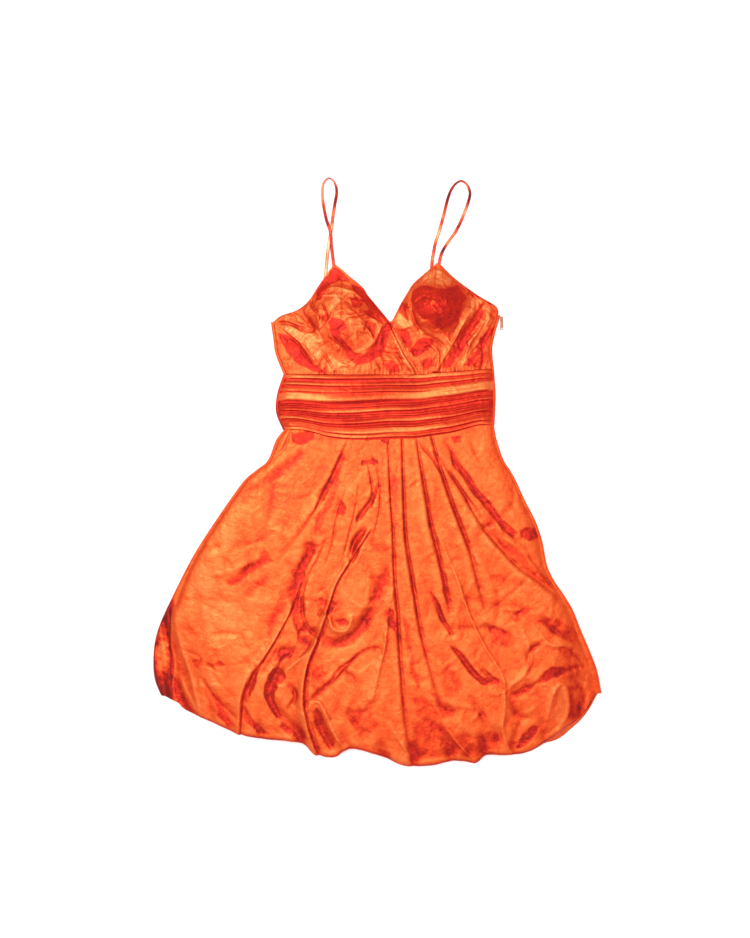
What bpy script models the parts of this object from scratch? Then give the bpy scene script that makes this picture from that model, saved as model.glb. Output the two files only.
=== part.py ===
"""Bubble dress with shoulder straps, laid flat on its back.

Lengths in the tables are millimetres. +X is the viewer's right, +Y points
from the hem to the straps, +Z points up from the surface that it lies on.
Each piece of cloth is a wall of even thickness, worked out from an outer
surface: rows run across the dress and columns run from its top to its hem.
"""

import math

import bpy
import numpy as np

MM = 0.001

# Cloth
WALL = 1.4                 # outer cloth with its lining
SEAM = 0.3                 # between two pieces that are sewn edge to edge
BAND_TOP_GAP = 0.4         # the same along the band's curved seams
WAIST_GAP = 0.6
BACK_ROLL = 3.2            # radius of the back's turned hem
BACK_ROLL_SIDE = 1.8
BACK_TURN = 40.0           # how far the back's hem goes back inside
FRONT_TURN = 42.0
PUFF_RADIUS = 8.6          # radius of the front's bubble hem
PUFF_RADIUS_SIDE = 2.6
PUFF_PINCH = 0.42          # share of that radius lost between two puffs
PINCH_WIDTH = 15.0
LAYER_GAP = 0.5            # between the two hems where they lie on each other
SIDE_HEIGHT = 5.0          # the folded side edge of bodice and band
BODICE_HEIGHT = 8.0
BAND_HEIGHT = 8.2
TUCK_COUNT = 12
TUCK_RISE = 2.4
STRAP_WIDTH = 5.4
STRAP_THICK = 1.4

# Heights of the outer surface, and how the edges round off
SKIRT_RISE = [(0, 7.6), (0.15, 9), (0.4, 13), (0.65, 17), (0.85, 21), (1, 22)]
LOWEST_TOP = 4.2
SIDE_ROUND = 26.0
SIDE_TURN = 2.0
BODICE_ROUND = 25.0
EDGE_HEIGHT = 6.2          # armholes and neckline
NECK_DROP = 0.75
WRAP_LIFT = 2.6            # the viewer's left panel over the right one
WRAP_SLOPE = 0.604

# Mesh
SEAM_ROWS = 7
ARMHOLE_ROWS = 11
BODICE_COLUMNS = 20
BAND_COLUMNS = 21
BAND_BACK_ROWS = 13
MAIN_ROWS = 18
ROLL_ROWS = 6
TURN_ROWS = 2
SIDE_ANGLES = (0, 45, 90, 135, 180)
FLAT_COLUMNS = 16
STRAP_RINGS = 46

# Outlines, each from its top down unless it says otherwise
WAIST = [(-161, 72), (-133, 71), (-110, 66), (-86, 59), (-56, 55), (-19, 54), (33, 56),
         (66, 57), (93, 61), (126, 66), (149, 72), (175, 79), (200, 80)]
SKIRT_RIM_LEFT = [(-164, 72), (-178, 54), (-192, 19), (-212, 2), (-233, -16), (-259, -51),
                  (-283, -86), (-306, -121), (-327, -156), (-345, -191), (-362, -226),
                  (-378, -261), (-389, -296), (-392, -340), (-389, -366), (-378, -392)]
SKIRT_SEAM_LEFT = [(-161, 72), (-174, 54), (-188, 19), (-208, 2), (-229, -16), (-255, -51),
                   (-279, -86), (-301, -121), (-321, -156), (-337, -191), (-350, -226),
                   (-361, -256), (-361, -301), (-354, -335), (-358, -375), (-348, -404)]
SKIRT_RIM_RIGHT = [(203, 80), (208, 54), (220, 19), (231, 2), (241, -16), (257, -51), (275, -86),
                   (287, -121), (296, -165), (308, -191), (325, -216), (341, -243), (355, -278),
                   (370, -313), (383, -348), (391, -388)]
SKIRT_SEAM_RIGHT = [(200, 80), (204, 54), (216, 19), (227, 2), (237, -16), (252, -51), (270, -86),
                    (281, -121), (289, -165), (301, -191), (317, -216), (332, -243), (345, -278),
                    (359, -313), (371, -348), (378, -388)]
HEM_FRONT = [(-348, -404), (-334, -417), (-285, -439), (-242, -458), (-203, -466), (-154, -471),
             (-128, -477), (-108, -494), (-75, -498), (-56, -486), (-35, -485), (12, -499),
             (47, -513), (91, -513), (135, -504), (170, -508), (189, -495), (222, -495),
             (257, -490), (292, -472), (325, -449), (355, -428), (378, -388)]
HEM_BACK = [(-378, -392), (-360, -402), (-329, -416), (-242, -452), (-154, -466), (-66, -480),
            (38, -500), (126, -498), (214, -489), (257, -486), (294, -476), (320, -468),
            (342, -451), (361, -434), (375, -416), (391, -388)]
BAND_TOP = [(-161, 169), (-84, 168), (4, 168), (74, 168), (105, 171), (149, 174), (178, 177),
            (200, 178)]
BAND_RIM_LEFT = [(-165, 169), (-176, 135), (-178, 103), (-166, 72)]
BAND_SEAM_LEFT = [(-161, 169), (-172, 135), (-174, 103), (-161, 72)]
BAND_RIM_RIGHT = [(203, 178), (206, 135), (205, 103), (204, 80)]
BAND_SEAM_RIGHT = [(200, 178), (202, 135), (201, 103), (200, 80)]
BODICE_RIM_LEFT = [(-187, 260), (-183, 232), (-179, 205), (-165, 169)]
BODICE_SEAM_LEFT = [(-183, 260), (-179, 232), (-175, 205), (-161, 169)]
BODICE_RIM_RIGHT = [(214, 272), (205, 240), (200, 212), (203, 178)]
BODICE_SEAM_RIGHT = [(210, 272), (201, 240), (196, 212), (200, 178)]
BODICE_BACK_TOP = [(-187, 260), (-102, 262), (13, 262), (91, 262), (160, 264), (214, 272)]
ARMHOLE_LEFT = [(-183, 260), (-169, 271), (-141, 281), (-122, 296), (-107, 318), (-94, 337),
                (-79, 358)]
ARMHOLE_RIGHT = [(210, 272), (210, 281), (203, 290), (176, 306), (145, 328), (127, 343),
                 (109, 361)]
NECKLINE_LEFT = [(72, 168), (46, 215), (21, 258), (-2, 288), (-17, 306), (-27, 321), (-47, 338),
                 (-73, 360)]
NECKLINE_RIGHT = [(-32, 168), (-4, 214), (23, 259), (40, 292), (52, 312), (61, 326), (76, 340),
                  (103, 363)]

# The front skirt's lines that columns follow: columns since the line before, points
PLEAT_LINES = [
    (9, [(-105, 64), (-108, 0), (-118, -90), (-135, -184), (-159, -245), (-189, -301),
         (-220, -352), (-238, -408), (-240, -459)]),
    (12, [(-26, 54), (-28, -4), (-38, -86), (-46, -138), (-65, -191), (-93, -252), (-110, -306),
          (-128, -383), (-131, -420), (-121, -480)]),
    (13, [(19, 55), (28, -100), (33, -226), (37, -301), (44, -378), (51, -430), (66, -512)]),
    (5, [(42, 56), (46, -4), (58, -147), (66, -220), (76, -292), (88, -340), (112, -415),
         (128, -505)]),
    (6, [(66, 57), (77, 2), (98, -108), (121, -226), (140, -300), (165, -380), (189, -495)]),
    (6, [(93, 61), (114, 0), (135, -58), (170, -168), (200, -270), (232, -390), (257, -490)]),
    (7, [(114, 64), (126, 37), (161, -19), (214, -98), (258, -160), (300, -240), (327, -330),
         (340, -438)]),
]
SIDE_COLUMNS = 6           # from the last of these lines to the right side

# Places where the hem is pinched between two puffs
HEM_PINCHES = (-286, -203, -131, -56, 12, 66, 128, 187, 240, 292, 345)

# Folds of the front skirt: the way the ridge lies from its line (0 for a plain
# ridge or trough), half widths at both ends, heights at start, middle and end
SKIRT_FOLDS = [
    (-1, 8, 11, (2.0, 2.5, 1.0), [(-51, 52), (-60, 16), (-70, -72), (-79, -100)]),
    (-1, 10, 19, (3.0, 6.0, 7.0), [(-26, 52), (-28, -4), (-38, -86), (-46, -138), (-65, -191),
                                   (-93, -252), (-110, -306), (-128, -383), (-131, -430)]),
    (-1, 8, 15, (2.0, 3.5, 5.0), [(19, 52), (28, -100), (33, -226), (37, -301), (44, -378),
                                  (60, -492)]),
    (-1, 8, 14, (2.5, 4.0, 3.5), [(42, 52), (46, -4), (58, -147), (66, -220), (76, -292),
                                  (88, -340), (112, -415)]),
    (-1, 8, 15, (2.5, 4.0, 2.5), [(66, 54), (77, 2), (98, -108), (121, -226), (154, -290)]),
    (-1, 9, 15, (2.5, 4.0, 3.0), [(93, 58), (114, 0), (135, -58), (170, -168), (187, -236)]),
    (1, 10, 17, (3.0, 5.0, 3.0), [(114, 61), (126, 37), (161, -19), (214, -98), (243, -133),
                                  (280, -180)]),
    (1, 10, 14, (1.0, 3.5, 2.0), [(170, -60), (214, -126), (280, -191), (332, -243)]),
    (0, 13, 13, (-1.0, -3.0, -2.0), [(-94, -136), (-128, -192), (-130, -252), (-119, -308)]),
    (0, 14, 14, (-1.0, -2.5, -1.0), [(-110, -72), (-140, -119), (-191, -192)]),
    (1, 11, 16, (2.0, 4.0, 5.0), [(-135, -184), (-159, -245), (-189, -301), (-220, -352),
                                  (-238, -408), (-240, -440)]),
    (0, 10, 12, (-2.0, -4.0, -4.0), [(-180, -350), (-191, -382), (-184, -404), (-152, -434)]),
    (0, 11, 11, (2.0, 4.0, 2.0), [(-163, -343), (-184, -336), (-203, -352), (-208, -383)]),
    (0, 11, 10, (3.0, 5.0, 4.0), [(-10, -234), (-37, -261), (-72, -276), (-84, -261)]),
    (0, 13, 12, (-2.0, -4.0, -2.0), [(18, -190), (-19, -262), (-46, -292), (-96, -312)]),
    (1, 10, 12, (2.0, 4.0, 3.0), [(-5, -308), (-54, -345), (-82, -373), (-128, -406)]),
    (0, 11, 14, (2.0, 4.0, 2.0), [(107, -136), (130, -177), (154, -226), (187, -292),
                                  (219, -368)]),
    (0, 11, 13, (2.0, 4.5, 3.0), [(16, -228), (7, -280), (-5, -359), (-21, -422), (-26, -450)]),
    (0, 11, 11, (-1.0, -3.0, -2.0), [(280, -303), (262, -325), (262, -352)]),
    (0, 10, 10, (1.0, 3.0, 1.0), [(271, -126), (282, -130), (292, -163)]),
    (0, 10, 14, (1.0, 3.0, 3.0), [(-340, -289), (-326, -334), (-315, -374), (-290, -420)]),
]

# Cups: middle, half width across, half width along, height
CUPS = [(103, 288, 44, 42, 19.0), (-62, 263, 50, 44, 12.0)]
# Folds of the bodice, in the form of the skirt's
BODICE_FOLDS = [
    (0, 8, 8, (-1.0, -2.5, -1.0), [(58, 318), (60, 287), (70, 250), (100, 229)]),
    (0, 9, 9, (1.0, 2.5, 1.0), [(152, 285), (138, 227), (112, 186)]),
    (0, 9, 9, (-0.5, -2.0, -1.0), [(-171, 243), (-138, 215), (-98, 170)]),
    (0, 9, 9, (0.5, 2.0, 1.0), [(-152, 205), (-140, 190), (-133, 172)]),
    (0, 9, 9, (-1.0, -3.0, -1.0), [(-62, 300), (-52, 262), (-60, 215)]),
    (0, 9, 9, (1.0, 2.0, 0.5), [(-175, 257), (-140, 245), (-103, 250)]),
]

# Straps: x, y, height of the middle over the surface, turn about its own run
STRAP_LEFT = [
    (-76, 346, 3.4, 0), (-77, 358, 3.3, 0), (-79, 375, 2.8, 8), (-81, 392, 3.6, 10),
    (-82, 408, 4.6, 10), (-84, 422, 3.6, 0), (-89, 436, 2.2, 15), (-93, 453, 1.9, 25),
    (-96, 471, 1.9, 25), (-97, 490, 2.2, 35), (-95, 503, 2.6, 50), (-87, 512, 2.9, 65),
    (-78, 508, 2.9, 65), (-73, 497, 2.4, 45), (-72, 485, 2.0, 30), (-75, 468, 1.5, 15),
    (-78, 450, 1.1, 5), (-80, 434, 0.9, 0), (-82, 419, 0.8, 0), (-85, 402, 0.8, 0),
    (-88, 382, 0.8, 0), (-90, 358, 0.8, 0), (-94, 325, 0.8, 0), (-99, 290, 0.8, 0),
    (-102, 262.5, 0.8, 0)]
STRAP_RIGHT = [
    (106, 350, 3.4, 0), (107, 362, 3.3, 0), (110, 376, 2.4, 10), (115, 388, 2.0, 25),
    (124, 402, 2.0, 25), (135, 417, 1.9, 20), (144, 434, 1.9, 20), (151, 451, 1.9, 20),
    (158, 470, 1.9, 25), (161, 486, 2.3, 40), (156, 500, 2.7, 60), (146, 507, 2.9, 65),
    (136, 502, 2.7, 60), (128, 491, 2.2, 40), (122, 475, 1.9, 25), (117, 455, 1.5, 15),
    (112, 436, 1.2, 5), (107, 418, 0.9, 0), (101, 400, 0.8, 0), (97, 380, 0.8, 0),
    (94.5, 362, 0.8, 0), (93, 330, 0.8, 0), (92, 295, 0.8, 0), (91, 262.5, 0.8, 0)]

# Side zip: its slider at the armhole and the pull that hangs from it
ZIP_X = 216.3
ZIP_Y = 266.0
SLIDER_SIZE = (5.0, 8.0, 1.2)
SLIDER_MIDDLE = 1.9        # height of the middle of the slider's plate
BRIDGE_WIDTH = 1.6
BRIDGE_POST = 1.0
BRIDGE_TOP = 0.9
TUNNEL_LENGTH = 2.6
TUNNEL_HEIGHT = 2.0
PULL_BAR = 1.0             # the square rod that turns in the tunnel, and the plate's thickness
PULL_LEG = 1.0
PULL_CLEAR = 0.5
PULL_SLOT = 4.2
PULL_LENGTH = 20.0
PULL_WIDTH = 6.0
PULL_HOLE = 1.5
ROUND_STEPS = 16


class Curve:
    """A smooth line through a few points, read by its share of the length."""

    def __init__(self, points):
        knots = np.array(points, float)
        before = 2 * knots[0] - knots[1]
        after = 2 * knots[-1] - knots[-2]
        knots = np.vstack([before, knots, after])
        t = np.linspace(0, 1, 10, endpoint=False)[:, None]
        spans = []
        for a, b, c, d in zip(knots, knots[1:], knots[2:], knots[3:]):
            bend = 2 * a - 5 * b + 4 * c - d
            twist = 3 * b - a - 3 * c + d
            spans.append(0.5 * (2 * b + (c - a) * t + bend * t**2 + twist * t**3))
        self.line = np.vstack(spans + [knots[-2:-1]])
        legs = np.linalg.norm(np.diff(self.line[:, :2], axis=0), axis=1)
        walked = np.concatenate([[0], np.cumsum(legs)])
        self.length = walked[-1]
        self.share = walked / self.length

    def at(self, share):
        axes = [np.interp(share, self.share, axis) for axis in self.line.T]
        return np.stack(axes, axis=-1)

    def nearest(self, point):
        """Share of the length at the place nearest to a point."""
        gaps = np.linalg.norm(self.line[:, :2] - np.array(point), axis=1)
        return self.share[int(np.argmin(gaps))]


def smooth_step(value, low, high):
    t = np.clip((value - low) / (high - low), 0, 1)
    return t * t * (3 - 2 * t)


def fold_height(x, y, folds):
    """Sum of the folds at points of the plan, ridges up and troughs down."""
    total = np.zeros(np.shape(x))
    for side, start_width, end_width, heights, points in folds:
        line = Curve(points)
        track = line.at(np.linspace(0, 1, 40))
        steps = np.gradient(track, axis=0)
        steps /= np.linalg.norm(steps, axis=1)[:, None]
        away_x = np.asarray(x)[..., None] - track[:, 0]
        away_y = np.asarray(y)[..., None] - track[:, 1]
        near = np.argmin(away_x**2 + away_y**2, axis=-1)
        pick = near[..., None]
        away_x = np.take_along_axis(away_x, pick, -1)[..., 0]
        away_y = np.take_along_axis(away_y, pick, -1)[..., 0]
        across = steps[near, 0] * away_y - steps[near, 1] * away_x
        beyond = np.abs(steps[near, 0] * away_x + steps[near, 1] * away_y)
        share = near / 39
        width = start_width + (end_width - start_width) * share
        height = np.interp(share, (0, 0.5, 1), heights) * np.exp(-(beyond / width)**2)
        if side:
            away = across * side
            ridge = np.exp(-((away - 0.7 * width) / width)**2)
            trough = 0.45 * np.exp(-((away + 0.5 * width) / (0.6 * width))**2)
            total += height * (ridge - trough)
        else:
            total += height * np.exp(-(across / width)**2)
    return total


def cloth_wall(outer, thickness):
    """Closed wall under an outer surface given as rows of points."""
    down = np.gradient(outer, axis=0)
    across = np.gradient(outer, axis=1)
    normal = np.cross(down, across)
    normal /= np.linalg.norm(normal, axis=2)[..., None]
    inner = outer - normal * np.asarray(thickness)[..., None]
    rows, columns = outer.shape[:2]
    points = np.concatenate([outer.reshape(-1, 3), inner.reshape(-1, 3)]) * MM
    number = np.arange(rows * columns).reshape(rows, columns)
    under = number + rows * columns
    faces = []
    for r in range(rows - 1):
        for c in range(columns - 1):
            a, b = number[r, c], number[r, c + 1]
            d, e = number[r + 1, c], number[r + 1, c + 1]
            faces.append((a, d, e, b))
            faces.append((under[r, c], under[r, c + 1], under[r + 1, c + 1], under[r + 1, c]))
    rim = list(number[0, :-1]) + list(number[:-1, -1])
    rim += list(number[-1, :0:-1]) + list(number[:0:-1, 0])
    offset = rows * columns
    for a, b in zip(rim, rim[1:] + rim[:1]):
        faces.append((a, b, b + offset, a + offset))
    return points, faces


def add_object(name, points, faces, material, origin=(0, 0, 0)):
    mesh = bpy.data.meshes.new(name)
    place = np.array(origin)
    mesh.from_pydata([tuple(p - place) for p in points], [], [tuple(map(int, f)) for f in faces])
    mesh.materials.append(material)
    mesh.update()
    mesh.shade_smooth()
    thing = bpy.data.objects.new(name, mesh)
    thing.location = origin
    bpy.context.scene.collection.objects.link(thing)
    return thing


def cloth_material(name, colour, roughness, metallic=0.0):
    material = bpy.data.materials.new(name)
    material.use_nodes = True
    shader = material.node_tree.nodes["Principled BSDF"]
    shader.inputs["Base Color"].default_value = (*colour, 1)
    shader.inputs["Roughness"].default_value = roughness
    shader.inputs["Metallic"].default_value = metallic
    return material


def side_height(y, left):
    """Height of the side seams, which rise towards the hem."""
    if left:
        return np.interp(y, (-400, -330, -210, -100, 70), (12, 13, 9, 6.5, SIDE_HEIGHT))
    return np.interp(y, (-390, -300, -200, -100, 70), (12, 11, 8.5, 6.5, SIDE_HEIGHT))


def edge_round(away, radius):
    """Rises from 0 at an edge to 1 at a radius, as a quarter circle does."""
    t = 1 - np.clip(away / radius, 0, 1)
    return np.sqrt(np.clip(1 - t * t, 0, 1))


def row_distances(surface):
    """Distance of each point from the left and right ends of its row."""
    legs = np.linalg.norm(np.diff(surface[..., :2], axis=1), axis=2)
    walked = np.concatenate([np.zeros((len(surface), 1)), np.cumsum(legs, axis=1)], axis=1)
    return walked, walked[:, -1:] - walked


class SkirtPlan:
    """Places in the plan of the front skirt, by column and share of the way down."""

    def __init__(self):
        lines = [Curve(SKIRT_SEAM_LEFT)] + [Curve(points) for _, points in PLEAT_LINES]
        lines.append(Curve(SKIRT_SEAM_RIGHT))
        counts = [0] + [count for count, _ in PLEAT_LINES] + [SIDE_COLUMNS]
        self.lines = lines
        self.marks = np.cumsum(counts)
        self.columns = np.arange(self.marks[-1] + 1)
        self.top = self.edge(Curve(WAIST), 0)
        self.bottom = self.edge(Curve(HEM_FRONT), 1)
        top = self.between(np.zeros((1, len(self.columns))))[0]
        bottom = self.between(np.ones((1, len(self.columns))))[0]
        self.top_shift = self.top - top
        self.bottom_shift = self.bottom - bottom
        steps = self.at(np.repeat(np.linspace(0, 1, 20)[:, None], len(self.columns), axis=1))
        self.length = np.linalg.norm(np.diff(steps, axis=0), axis=2).sum(axis=0)
        self.length[[0, -1]] = lines[0].length, lines[-1].length

    def edge(self, curve, share):
        marks = [curve.nearest(line.at(share)) for line in self.lines]
        marks[0], marks[-1] = 0, 1
        return curve.at(np.interp(self.columns, self.marks, marks))

    def between(self, share):
        places = np.zeros(share.shape + (2,))
        for column in self.columns:
            left = min(np.searchsorted(self.marks, column, side="right") - 1,
                       len(self.lines) - 2)
            part = (column - self.marks[left]) / (self.marks[left + 1] - self.marks[left])
            a = self.lines[left].at(share[:, column])
            b = self.lines[left + 1].at(share[:, column])
            places[:, column] = a + (b - a) * part
        return places

    def at(self, share):
        places = self.between(share)
        way = share[..., None]
        return places + (1 - way) * self.top_shift + way * self.bottom_shift


def hem_rows(length, start, radius, turn):
    """Distance in from the hem and angle round its roll, for each row."""
    down = np.linspace(0, 1, MAIN_ROWS + 1)[:, None]
    main = start + (length - start) * (1 - down)
    angle = np.linspace(0, math.pi, ROLL_ROWS + 1)[1:, None] + 0 * radius
    roll = radius * (1 - np.sin(angle))
    back = radius + turn * np.linspace(0, 1, TURN_ROWS + 1)[1:, None]
    angles = np.concatenate([0 * main, angle, 0 * back + math.pi])
    return np.concatenate([main, roll, back]), angles


def skirt_front_surface():
    """Front of the bubble skirt: pleats from the waist, then the puffed hem turned inside."""
    plan = SkirtPlan()
    hem = plan.bottom
    from_side = np.minimum(hem[:, 0] - hem[0, 0], hem[-1, 0] - hem[:, 0])
    inside = smooth_step(from_side, 0, 70)
    pinch = sum(np.exp(-((hem[:, 0] - x) / PINCH_WIDTH)**2) for x in HEM_PINCHES)
    puff = PUFF_RADIUS * (1 - PUFF_PINCH * pinch)
    radius = PUFF_RADIUS_SIDE + (puff - PUFF_RADIUS_SIDE) * inside
    turn = SIDE_TURN + (FRONT_TURN - SIDE_TURN) * inside
    rest = 2 * BACK_ROLL + LAYER_GAP
    inward, angle = hem_rows(plan.length, radius, radius, turn)
    share = 1 - inward / plan.length
    places = plan.at(share)
    x, y = places[..., 0], places[..., 1]
    body = np.interp(share, *zip(*SKIRT_RISE))
    near_hem = smooth_step(share, 0.6, 0.97)
    top = body * (1 - near_hem) + (rest + 2 * radius) * near_hem
    fade = 1 - smooth_step(share, 0.9, 0.985)
    top = np.maximum(top + fold_height(x, y, SKIRT_FOLDS) * fade, LOWEST_TOP)
    to_left, to_right = row_distances(places)
    reach = SIDE_ROUND + SIDE_ROUND * share
    left_edge, right_edge = side_height(y, True), side_height(y, False)
    top = left_edge + (top - left_edge) * edge_round(to_left, reach)
    top = right_edge + (top - right_edge) * edge_round(to_right, reach)
    rolled = rest + radius * (1 + np.cos(angle))
    main = np.arange(len(inward))[:, None] <= MAIN_ROWS
    return np.dstack([x, y, np.where(main, top, rolled)])


def back_surface(rims, seams, top, bottom, rows=None):
    """Back panel: flat on the surface, its sides folded up and over to the seams.

    The skirt's has no row count, and ends in a hem that is rolled back inside.
    """
    top, bottom = Curve(top), Curve(bottom)
    even = np.linspace(0, 1, FLAT_COLUMNS + 1)[1:-1]
    middle = (even + 0.5 - 0.5 * np.cos(math.pi * even)) / 2
    side = len(SIDE_ANGLES) + 1
    count = 2 * side + len(middle)
    across = np.concatenate([np.zeros(side), middle, np.ones(side)])
    if rows is None:
        lengths = [Curve(seam).length for seam in seams]
        length = lengths[0] + (lengths[1] - lengths[0]) * across
        centre = np.minimum(1, 6 * np.minimum(across, 1 - across))
        radius = BACK_ROLL_SIDE + (BACK_ROLL - BACK_ROLL_SIDE) * centre
        turn = SIDE_TURN + (BACK_TURN - SIDE_TURN) * centre
        inward, angle = hem_rows(length, PUFF_RADIUS_SIDE, radius, turn)
        share = 1 - inward / length
    else:
        share = np.repeat(np.linspace(0, 1, rows)[:, None], count, axis=1)
        angle, radius = np.zeros((rows, count)), np.zeros(count)
    surface = np.zeros(share.shape + (3,))
    inwards = np.zeros_like(surface)
    inwards[..., 2] = 1
    for is_left, sign, order in ((True, 1, range(side)),
                                 (False, -1, range(count - 1, count - 1 - side, -1))):
        rim, seam = Curve(rims[not is_left]), Curve(seams[not is_left])
        for column, degrees in zip(order, (None,) + SIDE_ANGLES):
            edge, sewn = rim.at(share[:, column]), seam.at(share[:, column])
            half = side_height(sewn[:, 1], is_left) / 2
            if degrees is None:
                surface[:, column, 0] = sewn[:, 0] - sign * SEAM
                surface[:, column, 1] = sewn[:, 1]
                surface[:, column, 2] = 2 * half
                inwards[:, column, 2] = -1
            else:
                turned = math.radians(degrees)
                surface[:, column, 0] = edge[:, 0] + sign * half * (1 - math.sin(turned))
                surface[:, column, 1] = edge[:, 1]
                surface[:, column, 2] = half * (1 + math.cos(turned))
                inwards[:, column, 0] = sign * math.sin(turned)
                inwards[:, column, 2] = -math.cos(turned)
    first, last = surface[:, side - 1, :2], surface[:, -side, :2]
    top_line, bottom_line = top.at([0, 1]), bottom.at([0, 1])
    for column, part in enumerate(middle, side):
        way = share[:, column][:, None]
        above = top.at(part) - (top_line[0] + (top_line[1] - top_line[0]) * part)
        below = bottom.at(part) - (bottom_line[0] + (bottom_line[1] - bottom_line[0]) * part)
        straight = first + (last - first) * part
        surface[:, column, :2] = straight + above * (1 - way) + below * way
    surface += inwards * (radius * (1 - np.cos(angle)))[..., None]
    return surface[:, ::-1]


def trimmed(surface, above, below):
    """Panel drawn in a little along its top and bottom edges, to clear the seams there."""
    way = np.linspace(0, 1, len(surface))[:, None]
    shorter = surface.copy()
    shorter[..., 1] += below * way - above * (1 - way)
    return shorter


def band_front_surface():
    """Ruched band: rows of tucks that spread from the narrow sides to the middle."""
    columns = np.linspace(0, 1, BAND_COLUMNS)
    steps = [0.0]
    for tuck in range(TUCK_COUNT):
        steps += [(tuck + 0.25) / TUCK_COUNT, (tuck + 1) / TUCK_COUNT]
    share = np.array(steps)
    top, bottom = Curve(BAND_TOP).at(columns), Curve(WAIST).at(columns)
    left, right = Curve(BAND_SEAM_LEFT).at(share), Curve(BAND_SEAM_RIGHT).at(share)
    way = share[:, None, None]
    across = columns[None, :, None]
    places = top + (bottom - top) * way
    left_gap = left[:, None] - (top[0] + (bottom[0] - top[0]) * way)
    right_gap = right[:, None] - (top[-1] + (bottom[-1] - top[-1]) * way)
    places = places + left_gap * (1 - across) + right_gap * across
    crest = np.zeros((len(share), 1))
    crest[1::2] = TUCK_RISE
    wander = 1 + 0.25 * np.sin(columns * 17 + share[:, None] * 29)
    to_left, to_right = row_distances(places)
    away = np.minimum(to_left, to_right)
    height = SIDE_HEIGHT + (BAND_HEIGHT - SIDE_HEIGHT) * edge_round(away, 22)
    tucks = crest * wander * smooth_step(away, 0, 16)
    return np.dstack([places, height + tucks]), WALL + tucks


def bodice_height(x, y):
    z = BODICE_HEIGHT - 2.0 * smooth_step(y, 290, 350)
    for cup_x, cup_y, wide, long, rise in CUPS:
        away = ((x - cup_x) / wide)**2 + ((y - cup_y) / long)**2
        z = z + rise * np.exp(-away**1.25 * 0.9)
    return z + fold_height(x, y, BODICE_FOLDS)


def bodice_front_surface(left):
    """One front panel, from the band's top edge up to its point at the strap."""
    seam = Curve((BODICE_SEAM_LEFT if left else BODICE_SEAM_RIGHT)[::-1])
    armhole = Curve(ARMHOLE_LEFT if left else ARMHOLE_RIGHT)
    neck = Curve(NECKLINE_LEFT if left else NECKLINE_RIGHT)
    outer_edge = np.vstack([seam.at(np.linspace(0, 1, SEAM_ROWS)),
                            armhole.at(np.linspace(0, 1, ARMHOLE_ROWS))[1:]])
    way = np.linspace(0, 1, len(outer_edge))
    neck_edge = neck.at(way)
    across = np.linspace(0, 1, BODICE_COLUMNS)
    first, last = (outer_edge, neck_edge) if left else (neck_edge, outer_edge)
    places = first[:, None] + (last - first)[:, None] * across[None, :, None]
    band = Curve(BAND_TOP)
    start, end = band.nearest(first[0]), band.nearest(last[0])
    along = band.at(start + (end - start) * across)
    places += (along - places[0]) * (1 - way[:, None, None])**3
    x, y = places[..., 0], places[..., 1]
    to_left, to_right = row_distances(places)
    to_outer, to_neck = (to_left, to_right) if left else (to_right, to_left)
    free_neck = smooth_step(y, 250, 285)
    full = bodice_height(x, y)
    neck_round = 1 - free_neck * NECK_DROP * (1 - edge_round(to_neck, BODICE_ROUND))
    top = EDGE_HEIGHT + (full - EDGE_HEIGHT) * neck_round
    low = SIDE_HEIGHT + (EDGE_HEIGHT - SIDE_HEIGHT) * smooth_step(y, 255, 280)
    top = low + (top - low) * edge_round(to_outer, BODICE_ROUND)
    if left:
        wrapped = NECKLINE_RIGHT[0][0] + (y - NECKLINE_RIGHT[0][1]) * WRAP_SLOPE
        over = smooth_step(x, wrapped - 45, wrapped - 8) * (1 - smooth_step(y, 262, 295))
        top = top + WRAP_LIFT * over
    return np.dstack([x, y, top])[::-1]


def strap_mesh(stations):
    """Flat ribbon of folded satin, swept along its run and turned about it."""
    run = Curve(stations)
    share = np.linspace(0, 1, STRAP_RINGS)
    data = run.at(share)
    middle = data[:, :3]
    tilt = np.radians(data[:, 3])
    ahead = np.gradient(middle, axis=0)
    ahead /= np.linalg.norm(ahead, axis=1)[:, None]
    flat = np.cross(ahead, (0, 0, 1))
    flat /= np.linalg.norm(flat, axis=1)[:, None]
    up = np.cross(flat, ahead)
    wide = flat * np.cos(tilt)[:, None] + up * np.sin(tilt)[:, None]
    thick = np.cross(wide, ahead)
    corners = [(-1, -1), (1, -1), (1, 1), (-1, 1)]
    rings = [middle + wide * a * STRAP_WIDTH / 2 + thick * b * STRAP_THICK / 2
             for a, b in corners]
    points = np.stack(rings, axis=1)
    low = points[..., 2].min(axis=1)
    points[..., 2] += np.maximum(0, 0.02 - low)[:, None]
    points = points.reshape(-1, 3) * MM
    faces = []
    for ring in range(STRAP_RINGS - 1):
        for corner in range(4):
            a, b = ring * 4 + corner, ring * 4 + (corner + 1) % 4
            faces.append((a, a + 4, b + 4, b))
    last = (STRAP_RINGS - 1) * 4
    faces.append((0, 1, 2, 3))
    faces.append((last + 3, last + 2, last + 1, last))
    return points, faces


def prism(outline, low, high):
    """Upright solid over an outline that runs anticlockwise."""
    count = len(outline)
    points = [(x, y, z) for z in (low, high) for x, y in outline]
    faces = [tuple(range(count - 1, -1, -1)), tuple(range(count, 2 * count))]
    for i in range(count):
        j = (i + 1) % count
        faces.append((i, j, j + count, i + count))
    return np.array(points), faces


def block(x, y, z):
    """Box between pairs of limits."""
    return prism([(x[0], y[0]), (x[1], y[0]), (x[1], y[1]), (x[0], y[1])], *z)


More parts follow.
